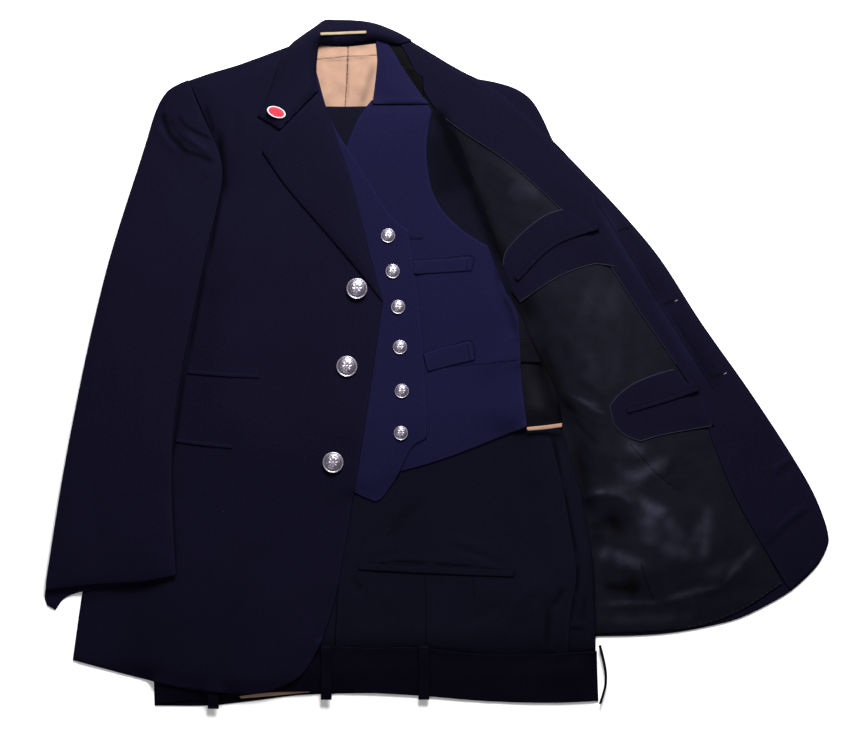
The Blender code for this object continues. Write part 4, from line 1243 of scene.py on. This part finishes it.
# Painted shade in the jet's opening and the folds, and a faint painted highlight on one ridge.
SEAT_SHADES = table("""
     x1    y1   x2    y2  bow  width   dark
    -83  -223  -51  -216   -1    1.5    0.9
    -51  -216   -7  -218    0    1.6   0.95
     -7  -218   45  -222    0    1.5   0.95
     45  -222   90  -231    0    1.3   0.85
    -86  -226   -7  -229    0    1.1   0.75
     -7  -229   90  -234    0    1.1   0.75
    138  -244  123  -267    3      3    0.5
    123  -267  120  -312    0      3    0.6
    -53  -191  -18  -150    3      6   0.25
    -92  -234  -81  -249    0      3   0.35
     75  -289  114  -273    0      5   0.18
     10  -199   70  -222    0      4  -0.15
""")
lay_cloth("trousers_front_left", "trouser_cloth", TROUSER_CLOTH, pitch=2.6, grain=8, smooth=8,
          shades=TROUSER_SIDE_SHADES)
lay_cloth("trousers_back_right", "trouser_cloth", TROUSER_CLOTH, pitch=6.0, grain=-8, smooth=8)
lay_cloth("trousers_back_left", "trouser_cloth", TROUSER_CLOTH, pitch=2.6, grain=4, smooth=8,
          folds=SEAT_FOLDS, shades=SEAT_SHADES, soften=3,
          seams=[(SEAM["back_dart"], 0.3), (SEAM["small_dart"], 0.2)])
lay_cloth("waistband_lining", "vest_lining", SATEEN, pitch=3.0, grain=90, smooth=2)
lay_cloth("waistband_back", "waistband", TROUSER_CLOTH, grain=90, smooth=8)
for side in ("centre", "left", "right"):
    lay_cloth("belt_loop_" + side, "waistband", TROUSER_CLOTH, painted_edge_shade=0.5, slot="trouser_cloth",
              **NARROW)
lay_cloth("trousers_back_pocket", "trouser_cloth", SATEEN, grain=88, painted_edge_shade=1.0, **NARROW)

# %% [markdown]
# The waistcoat's side and back are satin with a strap, and its fronts are the finer suiting.
# The left front carries two welt pockets, a dart at the waist and a crease below the shoulder.
# The part above that crease is a piece of its own, because one mesh can't fold over itself here.

# %% Waistcoat side and left front
VEST_SIDE_SHADES = table("""
     x1   y1   x2   y2  bow  width  dark
    108   25  132  -40    0      9   0.6
    132  -40  138  -73    0      6   0.6
     92   25  127   25    0    1.2   0.7
""")
VEST_FOLDS_LEFT = table("""
    x1   y1  x2   y2  bow  width  height
    17  175  63  128    3      7     1.2
     4  202  28  114    0      9    -0.8
    37  -18  92   15    3      9       1
    48   70  37  -40    0     12     0.7
    75   70  86   26    0      6    -0.8
""")
VEST_LEFT_SHADES = table("""
     x1   y1    x2   y2  bow  width  dark
    -71  308  -100  235    0    3.5  0.45
    -62  286    -9  286    0    1.6   0.6
     -1  277    -3  205    0    2.5  0.35
""")
VEST_FRONT_SHADES = table("""
    x1   y1  x2   y2  bow  width  dark
    57  136  70   81    2      4  0.45
    70   81  92   18    2      4  0.42
    -7  277  -3  216    0      3   0.4
    -3  216  17  175    0      3   0.4
    17  175  57  136    0      3   0.4
""")
lay_cloth("vest_side", "vest_satin", SUITING, pitch=2.6, grain=20, smooth=6, shades=VEST_SIDE_SHADES)
lay_cloth("vest_strap", "vest_satin", SATEEN, grain=90, painted_edge_shade=0.9, **NARROW)
lay_cloth("vest_hem_lining", "vest_lining", SATEEN, grain=90, **NARROW)
lay_cloth("vest_front_left", "vest_cloth", SUITING, pitch=2.6, folds=VEST_FOLDS_LEFT,
          shades=VEST_FRONT_SHADES, soften=4,
          seams=[(SEAM["vest_dart"], 0.15), (SEAM["upper_welt"], 0.1), (SEAM["lower_welt"], 0.1)])
lay_cloth("vest_yoke_left", "vest_cloth", SUITING, pitch=3.0, smooth=8, shades=VEST_LEFT_SHADES)

# %% [markdown]
# The right front is buttoned to the left one down the middle.  The welts are narrow strips that
# stand a little proud of the cloth.  They could be cut into the front's mesh, but as strips laid
# on it they get the soft outline of real welts.

# %% Waistcoat right front
VEST_FOLDS_RIGHT = table("""
     x1   y1   x2   y2  bow  width  height
    -46  235  -53  147    2      9     0.8
    -38  114  -41  -18    0     10     0.6
""")
lay_cloth("vest_front_right", "vest_cloth", SUITING, pitch=3.4, folds=VEST_FOLDS_RIGHT, soften=4)
lay_cloth("vest_welt_upper", "vest_cloth", SATEEN, pitch=3.0, grain=-86, smooth=6, hug=3.0)
lay_cloth("vest_welt_lower", "vest_cloth", SATEEN, pitch=3.0, grain=-75, smooth=6, hug=3.0)

# %% [markdown]
# ## The coat's right front, right sleeve, lapel and collar
# The sleeve lies along the front with a rounded fold down each side.  Its head is set in with
# fullness, and lying flat it breaks into a few short folds beside the armhole.

# %% Right front and its pockets
FRONT_FOLDS = table("""
      x1    y1    x2    y2  bow  width  height
    -217   277  -229   233    0      6    -1.2
    -205   282  -216   224    0      8       1
    -227   158  -244    37    3     16     0.9
    -172   -62  -192  -216    0     22     0.8
    -255  -216  -150  -304    6     20     0.8
    -137  -216  -155  -304    0     10     0.7
""")
# Painted shadow beside the sleeve's edge, and painted shade over the lower left of the front.
FRONT_SHADES = table("""
      x1    y1    x2    y2  bow  width  dark
    -254   286  -243   249    0    2.4   0.8
    -239   260  -232   185    0    4.4  0.97
    -234   202  -250   112    0    2.6   0.9
    -250   125  -274    -2    0    2.4  0.85
    -274    11  -292  -121    0    2.4  0.85
    -292  -110  -286  -240    0    2.2  0.85
    -414  -260  -291  -242    0      7   0.3
    -370  -304  -194  -334    0     90  0.22
""")
lay_cloth("coat_front_right", "coat_serge", SERGE, pitch=2.8, grain=-7, folds=FRONT_FOLDS,
          shades=FRONT_SHADES, soften=4)
lay_cloth("coat_pocket_upper", "coat_serge", SATEEN, grain=86, **NARROW)
lay_cloth("coat_pocket_lower", "coat_serge", SATEEN, grain=83, **NARROW)

# %% [markdown]
# The sleeve is a tube of an upper and an under piece.  Its deepest fold is a short crescent
# beside the armhole, with a finer fold above it.  The upper piece is filled more finely than the
# other large ones, because a fold needs several points across it.

# %% Right sleeve
SLEEVE_FOLDS = table("""
      x1   y1    x2    y2  bow  width  height
    -295  270  -273   238   -3      4    -2.8
    -276  241  -251   226    1    3.4    -2.4
    -284  265  -277   252    0    2.2    -1.4
    -271  257  -246   248   -1      2    -0.9
    -306  264  -284   233   -2    4.5     1.3
    -280  257  -255   235    0      4     1.2
    -269  238  -245   233    0      3     0.9
    -265  218  -240   207    0      5     0.8
    -359   70  -346   -62    4     13     0.9
    -315   37  -326  -117   -3     10     0.7
    -381  -84  -370  -216    0     10    -0.6
""")
# Painted shade in the folds by the armhole, and a painted highlight on two of their ridges.
SLEEVE_SHADES = table("""
      x1   y1    x2   y2  bow  width   dark
    -300  279  -288  244   -2      3    0.9
    -290  251  -269  229   -1    3.2   0.95
    -273  233  -244  221    1    2.4    0.9
    -284  273  -271  257    0    1.8    0.6
    -274  261  -245  246   -1    1.8    0.9
    -306  268  -284  233   -2    2.6  -0.28
    -276  253  -249  233    0    2.6   -0.3
""")
lay_cloth("coat_sleeve_right_under", "coat_serge", SERGE, pitch=5.0, grain=-8)
lay_cloth("coat_sleeve_right_top", "coat_serge", SERGE, pitch=2.4, grain=-8, smooth=8, hug=0,
          folds=SLEEVE_FOLDS, shades=SLEEVE_SHADES, soften=3)

# %% [markdown]
# The lapel is the front's own edge rolled back, and the collar is sewn to it along the gorge.
# They could be one mesh with the front, turned over at the roll line.  As pieces laid last they
# stay springy, and only their very edges hug what is under them.

# %% Lapel and collar
lay_cloth("coat_lapel", "coat_serge", SERGE, pitch=3.0, grain=22, smooth=6, hug=4.0)
lay_cloth("coat_collar", "coat_serge", SERGE, pitch=3.0, grain=60, smooth=5, hug=3.0, reach=0.0)
lay_cloth("coat_hanger_loop", "tape", SATEEN, grain=-88, **NARROW)

# %% [markdown]
# ## Stitches and piping
# Topstitching is a row of short raised threads, and piping is a thin satin cord in a seam.  Both
# follow a line on the cloth, so their Geometry Nodes trees begin and end alike: a line comes in,
# and a mesh with its material goes out.


# %% What both trees share
def chain(tree, kind, inputs=(), **settings):
    """Add a node to a tree, set its properties and feed its inputs."""
    node = tree.nodes.new(kind)
    for key, value in settings.items():
        setattr(node, key, value)
    for key, value in dict(inputs).items():
        if isinstance(value, bpy.types.NodeSocket):
            tree.links.new(value, node.inputs[key])
        else:
            node.inputs[key].default_value = value
    return node


def new_tree(name, numbers):
    """A tree that takes a line, some sizes and a material, and gives a mesh."""
    tree = bpy.data.node_groups.new(name, "GeometryNodeTree")
    tree.interface.new_socket("Line", in_out="INPUT", socket_type="NodeSocketGeometry")
    for label, start in numbers.items():
        socket = tree.interface.new_socket(label, in_out="INPUT", socket_type="NodeSocketFloat")
        socket.default_value = start
    tree.interface.new_socket("Material", in_out="INPUT", socket_type="NodeSocketMaterial")
    tree.interface.new_socket("Mesh", in_out="OUTPUT", socket_type="NodeSocketGeometry")
    given = tree.nodes.new("NodeGroupInput").outputs
    curve = chain(tree, "GeometryNodeMeshToCurve", {"Mesh": given["Line"]})
    upright = chain(tree, "GeometryNodeSetCurveNormal", {"Curve": curve.outputs[0]}, mode="Z_UP")
    return tree, given, upright.outputs[0]


def finish_tree(tree, given, geometry):
    real = chain(tree, "GeometryNodeRealizeInstances", {"Geometry": geometry})
    made = chain(tree, "GeometryNodeSetMaterial",
                 {"Geometry": real.outputs[0], "Material": given["Material"]})
    end = tree.nodes.new("NodeGroupOutput")
    tree.links.new(made.outputs[0], end.inputs[0])
    return tree


print("trees so far:", len(bpy.data.node_groups))

# %% [markdown]
# The first tree walks along its line, puts a small thread every few millimetres and turns it
# with the line.  The second sweeps a thin round cord along it.


# %% Stitches and piping
def stitch_tree():
    sizes = {"Pitch": 0.0028, "Long": 0.0021, "Wide": 0.0006, "High": 0.0005}
    tree, given, line = new_tree("row of stitches", sizes)
    spots = chain(tree, "GeometryNodeCurveToPoints", {"Curve": line, "Length": given["Pitch"]},
                  mode="LENGTH")
    bead = chain(tree, "GeometryNodeMeshIcoSphere", {"Radius": 0.5, "Subdivisions": 1})
    size = chain(tree, "ShaderNodeCombineXYZ",
                 {"X": given["Wide"], "Y": given["High"], "Z": given["Long"]})
    placed = chain(tree, "GeometryNodeInstanceOnPoints",
                   {"Points": spots.outputs["Points"], "Instance": bead.outputs["Mesh"],
                    "Rotation": spots.outputs["Rotation"], "Scale": size.outputs[0]})
    return finish_tree(tree, given, placed.outputs[0])


def piping_tree():
    tree, given, line = new_tree("piping", {"Radius": 0.0005})
    ring = chain(tree, "GeometryNodeCurvePrimitiveCircle",
                 {"Resolution": 8, "Radius": given["Radius"]})
    cord = chain(tree, "GeometryNodeCurveToMesh",
                 {"Curve": line, "Profile Curve": ring.outputs["Curve"], "Fill Caps": True})
    return finish_tree(tree, given, cord.outputs[0])


STITCHES = stitch_tree()
PIPING = piping_tree()
print("trees:", STITCHES.name, "and", PIPING.name)

# %% [markdown]
# A tree needs its line as a mesh of edges.  The modifier could stay live, but an export drops
# instances, so its result is turned into a plain mesh at once, and the stitches are real
# threads.


# %% Run a tree along lines on the cloth
def along_lines(name, tree, runs, material, slot, **sizes):
    """Make one plain mesh from the lines by a tree, riding on the set."""
    points = []
    edges = []
    for run in runs:
        base = len(points)
        points += run
        edges += [(base + k, base + k + 1) for k in range(len(run) - 1)]
    mesh = bpy.data.meshes.new(name)
    mesh.from_pydata(points, edges, [])
    thing = show(name, mesh)
    modifier = thing.modifiers.new(name, "NODES")
    modifier.node_group = tree
    wanted = {"Material": MATERIALS[material], **sizes}
    for item in tree.interface.items_tree:
        if item.in_out == "INPUT" and item.name in wanted:
            modifier[item.identifier] = wanted[item.name]
    graph = bpy.context.evaluated_depsgraph_get()
    plain_mesh = bpy.data.meshes.new_from_object(thing.evaluated_get(graph))
    thing.modifiers.clear()
    thing.data = plain_mesh
    plain_mesh.shade_smooth()
    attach(thing, "root")
    print(f"{name}: {len(runs)} lines, {len(plain_mesh.polygons)} faces")


def edge_rows(rows):
    """Lines on the cloth from a table of edge runs."""
    runs = []
    for row in rows:
        piece = PIECES[row["piece"]]
        line = edge_run(piece.loop, (row["x1"], row["y1"]), (row["x2"], row["y2"]), row["inset"])
        runs.append(piece.on(line, row["lift"]))
    return runs


print("pieces that can be stitched:", len(PIECES))

# %% [markdown]
# A waistcoat's edges are stitched down a few millimetres inside the edge.  The cuff has one row
# round it, and the lining is felled to the hem with longer stitches.  Each edge row is found from
# the outline of its own piece, so that it keeps its distance round every curve; the cuff's row
# follows a few marks.

# %% Topstitching and piping
VEST_TOPSTITCHING = table("""
    piece                x1    y1    x2    y2  inset  lift
    vest_front_right   -161  -108  -133   328    1.8  0.10
    vest_front_right   -161  -108  -133   328    6.2  0.10
    vest_front_left     -93  -132   100   -69    1.8  0.10
    vest_front_left     -93  -132   100   -69    5.6  0.10
    vest_front_left      57   129    -4   276    3.4  0.10
    vest_front_left     -70   289  -119   180    5.4  0.10
    vest_yoke_left      -66   356   -69   284    5.4  0.10
    vest_welt_upper      38   116    36   102    1.6  0.10
    vest_welt_lower      37    24    42     4    1.6  0.10
""")
along_lines("vest_topstitching", STITCHES, edge_rows(VEST_TOPSTITCHING), "vest_thread",
            "vest_cloth")
CUFF_LINE = ((-399, -147), (-345, -141), (-291, -135))
HEM_STITCHES = table("""
    piece                x1    y1    x2    y2  inset  lift
    coat_lining_left    279  -290   381  -242    1.6  0.10
""")
along_lines("coat_cuff_stitches", STITCHES,
            [PIECES["coat_sleeve_right_top"].on(through(CUFF_LINE), 0.05)], "navy_thread",
            "coat_serge")
along_lines("coat_hem_stitches", STITCHES, edge_rows(HEM_STITCHES), "grey_thread", "coat_lining",
            Pitch=0.006)
PIPED_EDGES = table("""
    piece                       x1    y1    x2    y2  inset  lift
    coat_facing_left             1   278   139   167    0.3  -0.3
    coat_facing_left           176   129   262     0    0.3  -0.3
    coat_inner_pocket_upper    139   169    74   103    0.3  -0.2
    coat_inner_pocket_upper     92    67   196   106    0.3  -0.2
    coat_inner_pocket_lower    261    -6   302   -68    0.3  -0.2
""")
along_lines("coat_piping", PIPING, edge_rows(PIPED_EDGES), "piping", "coat_lining")

# %% [markdown]
# ## Buttonholes and bar tacks
# A buttonhole is a slit with close stitches across its lips.  The same tree makes them with
# short wide stitches set close.  Bar tacks hold the ends of the pockets and the belt loops.


# %% Buttonholes and bar tacks
SLIT_HALF = 0.9              # mm


def row_ends(row):
    return np.array([[row["x1"], row["y1"]], [row["x2"], row["y2"]]])


def slit(row):
    """The line round a slit, up one lip and back down the other."""
    a, b = row_ends(row)
    run = (b - a) / np.linalg.norm(b - a)
    side = np.array([-run[1], run[0]]) * SLIT_HALF
    corners = [a + side, b + side, b + run * SLIT_HALF, b - side, a - side]
    return PIECES[row["piece"]].on(resample(np.array(corners), 1.5), 0.12)


def short_lines(rows, pitch, lift):
    return [PIECES[row["piece"]].on(resample(row_ends(row), pitch), lift) for row in rows]


BUTTONHOLES = table("""
    piece                 x1     y1     x2     y2
    coat_facing_left     199    146    215    151
    coat_facing_left     247     65    263     70
    coat_facing_left     301    -15    317    -10
    vest_front_left      -29  137.5    -16  137.5
""")
holes = [slit(row) for row in BUTTONHOLES]
along_lines("coat_buttonholes", STITCHES, holes[:3], "dark_thread", "coat_serge",
            Pitch=0.0008, Long=0.0007, Wide=0.0017)
along_lines("vest_buttonhole", STITCHES, holes[3:], "dark_thread", "vest_cloth",
            Pitch=0.0008, Long=0.0007, Wide=0.0015)
TACKS = table("""
    piece                    x1     y1     x2     y2
    trousers_back_left       89   -229     90   -236
    trousers_back_left      -86   -221    -86   -228
    belt_loop_centre       -125   -311   -115   -311
    belt_loop_left          -18   -311     -8   -311
    belt_loop_right        -249   -377   -239   -377
    vest_welt_upper          34    115     33    103
    vest_welt_lower          34     22     37      4
""")
along_lines("bar_tacks", STITCHES, short_lines(TACKS, 2.0, 0.15), "navy_thread", "trouser_cloth",
            Pitch=0.0007, Long=0.0007, Wide=0.0018)
THREAD_TIPS = table("""
    piece                 x1     y1     x2     y2
    coat_facing_left     217    151    219    152
    coat_facing_left     262     69    264     70
    coat_facing_left     316    -11    318    -10
""")
along_lines("thread_tips", STITCHES, short_lines(THREAD_TIPS, 1.0, 0.4), "pale_thread", "tape",
            Pitch=0.0008, Long=0.0016, Wide=0.0012, High=0.0009)

# %% [markdown]
# ## Buttons
# Turned and stamped parts are stacks of rings of points, closed by one point at the top and one
# at the bottom.  A Screw modifier would turn a profile too, but it can't raise a relief.  Each
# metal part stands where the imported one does.


# %% Stacked rings
def circle(sides):
    return [2 * math.pi * k / sides for k in range(sides)]


def stacked_faces(rings, sides):
    """Faces of stacked rings of points, closed by two last points: the top's and the bottom's."""
    faces = []
    for ring in range(rings - 1):
        for k in range(sides):
            after = (k + 1) % sides
            a, b = ring * sides, (ring + 1) * sides
            faces.append((a + k, b + k, b + after, a + after))
    top = rings * sides
    for k in range(sides):
        after = (k + 1) % sides
        faces += [(top, k, after), (top + 1, top - sides + after, top - sides + k)]
    return faces


def node_middle(node):
    """The middle of a node in plan and half its width, in mm."""
    low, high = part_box(node)
    return (low[0] + high[0]) / 2 / MM, (low[1] + high[1]) / 2 / MM, (high[0] - low[0]) / 2 / MM


def hand_over(name, mesh, node):
    thing = show(name, mesh)
    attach(thing, "root")
    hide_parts(node)
    return thing


print("points of a square ring:", len(circle(4)))

# %% [markdown]
# Uniform buttons are stamped metal: a domed face with a raised rim and a shallow relief.  The
# relief here is a plain rosette inside a ring of beads.

# %% Button shape
RELIEF = 0.035               # as a share of the button's radius, like the table's heights
BUTTON_SIDES = 72
BUTTON_FACE = table("""
    r       z
  0.00   0.395
  0.20   0.390
  0.45   0.365
  0.66   0.310
  0.78   0.240
  0.84   0.190
  0.88   0.215
  0.93   0.262
  0.98   0.225
  1.00   0.170
""")
BUTTON_SKIRT = ((1.0, 0.10), (0.96, 0.03), (0.90, 0.0))
PETALS = 8
BEADS = 24


def relief(share, turn):
    """The rosette and beads on a button's face, from 0 to about 1."""
    petal = (0.5 + 0.5 * math.cos(PETALS * turn)) * math.exp(-((share - 0.34) / 0.15) ** 2)
    boss = math.exp(-(share / 0.10) ** 2)
    bead = (0.5 + 0.5 * math.cos(BEADS * turn)) * math.exp(-((share - 0.68) / 0.05) ** 2)
    return petal + boss + 0.7 * bead


print("relief at the middle:", round(relief(0.0, 0.0), 2))

# %% [markdown]
# The face is a height over the plan, and how far each point lies in a hollow is kept, so that
# the metal darkens there, as it does where a polishing cloth can't reach.  The skirt below the
# rim turns in to the cloth.


# %% Make the buttons
def uniform_button(node, scale):
    """Build a button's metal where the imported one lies, on the cloth as it is laid here."""
    x, y, radius = node_middle(node)
    radius *= scale
    seat = PILE.under(np.array([[x, y]]), radius)[0] + LAYER_GAP
    shares = list(np.linspace(0.04, 0.80, 20)) + [0.84, 0.88, 0.905, 0.93, 0.955, 0.98, 1.0]
    points = []
    hollows = []
    for share in shares:
        level = np.interp(share, [row["r"] for row in BUTTON_FACE],
                          [row["z"] for row in BUTTON_FACE])
        moat = math.exp(-((share - 0.84) / 0.03) ** 2)
        for turn in circle(BUTTON_SIDES):
            raised = relief(share, turn)
            points.append((x + share * radius * math.cos(turn), y + share * radius * math.sin(turn),
                           seat + radius * (level + RELIEF * raised)))
            hollows.append(min(1.0, moat + (0.75 - 0.75 * min(1.0, raised)) * (share < 0.78)))
    for share, level in BUTTON_SKIRT:
        for turn in circle(BUTTON_SIDES):
            points.append((x + share * radius * math.cos(turn), y + share * radius * math.sin(turn),
                           seat + radius * level))
            hollows.append(0.5)
    faces = stacked_faces(len(points) // BUTTON_SIDES, BUTTON_SIDES)
    points += [(x, y, seat + radius * (BUTTON_FACE[0]["z"] + RELIEF)), (x, y, seat)]
    hollows += [0.0, 0.5]
    mesh = bpy.data.meshes.new(node + "_metal")
    mesh.from_pydata([(px * MM, py * MM, pz * MM) for px, py, pz in points], [], faces)
    attribute = mesh.attributes.new("hollow", "FLOAT", "POINT")
    attribute.data.foreach_set("value", np.array(hollows, np.float32))
    mesh.shade_smooth()
    mesh.materials.append(MATERIALS["button_metal"])
    hand_over(node + "_metal", mesh, node)


BUTTON_SCALE = {"coat_button": 0.94, "vest_button": 0.92}
for name in sorted(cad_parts):
    kind = name.rsplit("_", 1)[0]
    if kind in BUTTON_SCALE:
        uniform_button(name, BUTTON_SCALE[kind])
print("buttons:", sum(name.rsplit("_", 1)[0] in BUTTON_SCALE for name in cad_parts))

# %% [markdown]
# ## Pin and side belt loop
# The pin is a plain oval of red enamel in a pale metal rim, and sits on the collar.  It is one
# stack of rings like a button, squashed to an oval, and its faces take two materials.

# %% Pin
PIN_SIDES = 48
PIN_RINGS = ((0.50, 1.30), (0.80, 1.22), (0.84, 1.18), (0.87, 1.62), (0.93, 1.75),
             (1.00, 1.35), (1.00, 0.40), (0.95, 0.00))
PIN_RIM_FROM = 0.84
PIN_CROWN = 1.34
PIN_HALF = (10.6, 5.9)       # mm
PIN_TILT = math.radians(-20)


def enamel_pin(node):
    x, y, _ = node_middle(node)
    seat = PILE.under(np.array([[x, y]]), PIN_HALF[0])[0] + LAYER_GAP
    points = []
    for share, level in PIN_RINGS:
        for turn in circle(PIN_SIDES):
            u, v = share * PIN_HALF[0] * math.cos(turn), share * PIN_HALF[1] * math.sin(turn)
            points.append(((x + u * math.cos(PIN_TILT) - v * math.sin(PIN_TILT)) * MM,
                           (y + u * math.sin(PIN_TILT) + v * math.cos(PIN_TILT)) * MM,
                           (seat + level) * MM))
    points += [(x * MM, y * MM, (seat + PIN_CROWN) * MM), (x * MM, y * MM, seat * MM)]
    mesh = bpy.data.meshes.new("coat_pin_enamel")
    mesh.from_pydata(points, [], stacked_faces(len(PIN_RINGS), PIN_SIDES))
    mesh.materials.append(MATERIALS["pin_enamel"])
    mesh.materials.append(MATERIALS["pin_rim"])
    looks = []
    for share, _ in PIN_RINGS[:-1]:
        looks += [int(share >= PIN_RIM_FROM)] * PIN_SIDES
    mesh.polygons.foreach_set("material_index", looks + [0, 1] * PIN_SIDES)
    mesh.shade_smooth()
    hand_over("coat_pin_enamel", mesh, node)


enamel_pin("coat_pin")
print("pin:", 2 * PIN_HALF[0], "x", 2 * PIN_HALF[1], "mm")

# %% [markdown]
# The belt loop at the trousers' side stands on its edge and bows away from the waistband.  It
# can't be laid flat on the pile like the others, so a rounded section is carried along its line.

# %% Side belt loop
SIDE_LOOP = table("""
    x        y
  180.6   -309
  184     -322
  187     -338
  187     -352
  184     -364
  181     -373
""")
SIDE_LOOP_TOP = 9.0
SIDE_LOOP_LEAN = 2.6
LOOP_HALF = 0.75
LOOP_SIDES = 12


def side_loop(node):
    """A narrow ribbon on its edge, with rounded edges, along the marks."""
    line = through([(row["x"], row["y"]) for row in SIDE_LOOP], 2.0)
    side = np.gradient(line, axis=0)
    side = np.stack([-side[:, 1], side[:, 0]], axis=1)
    side /= np.linalg.norm(side, axis=1)[:, None]
    middle = SIDE_LOOP_TOP / 2
    section = []
    for turn in circle(LOOP_SIDES):
        level = middle + (middle - 0.05) * math.copysign(abs(math.sin(turn)) ** 0.5, math.sin(turn))
        section.append((LOOP_HALF * math.copysign(abs(math.cos(turn)) ** 0.7, math.cos(turn)), level))
    points = []
    for spot, way in zip(line, side):
        for out, level in section:
            place = spot + way * out - np.array([SIDE_LOOP_LEAN * level / SIDE_LOOP_TOP, 0.0])
            points.append((place[0] * MM, place[1] * MM, level * MM))
    faces = []
    for k in range(len(line) - 1):
        for m in range(LOOP_SIDES):
            after = (m + 1) % LOOP_SIDES
            a, b = k * LOOP_SIDES, (k + 1) * LOOP_SIDES
            faces.append((a + m, a + after, b + after, b + m))
    faces.append(tuple(range(LOOP_SIDES - 1, -1, -1)))
    faces.append(tuple(range(len(points) - LOOP_SIDES, len(points))))
    mesh = bpy.data.meshes.new(node + "_cloth")
    mesh.from_pydata(points, [], faces)
    mesh.shade_smooth()
    grain_map(mesh, 0.0)
    mesh.materials.append(MATERIALS["waistband"])
    length = np.linalg.norm(np.diff(line, axis=0), axis=1).sum()
    thing = hand_over(node + "_cloth", mesh, node)
    CUTS[node] = (NARROWEST_CUT, length, SIDE_LOOP_TOP * length)


side_loop("belt_loop_side")
print("side loop stands", SIDE_LOOP_TOP, "mm high")

# %% [markdown]
# ## Cut list
# The flat size of each cut is printed, as a cutter would list it.

# %% Cut list
for node in sorted(CUTS):
    width, length, area = CUTS[node]
    print(f"cut {node}: {width:.0f} x {length:.0f} mm, {area / 100:.0f} square cm, "
          f"share {area / width / length:.2f}")
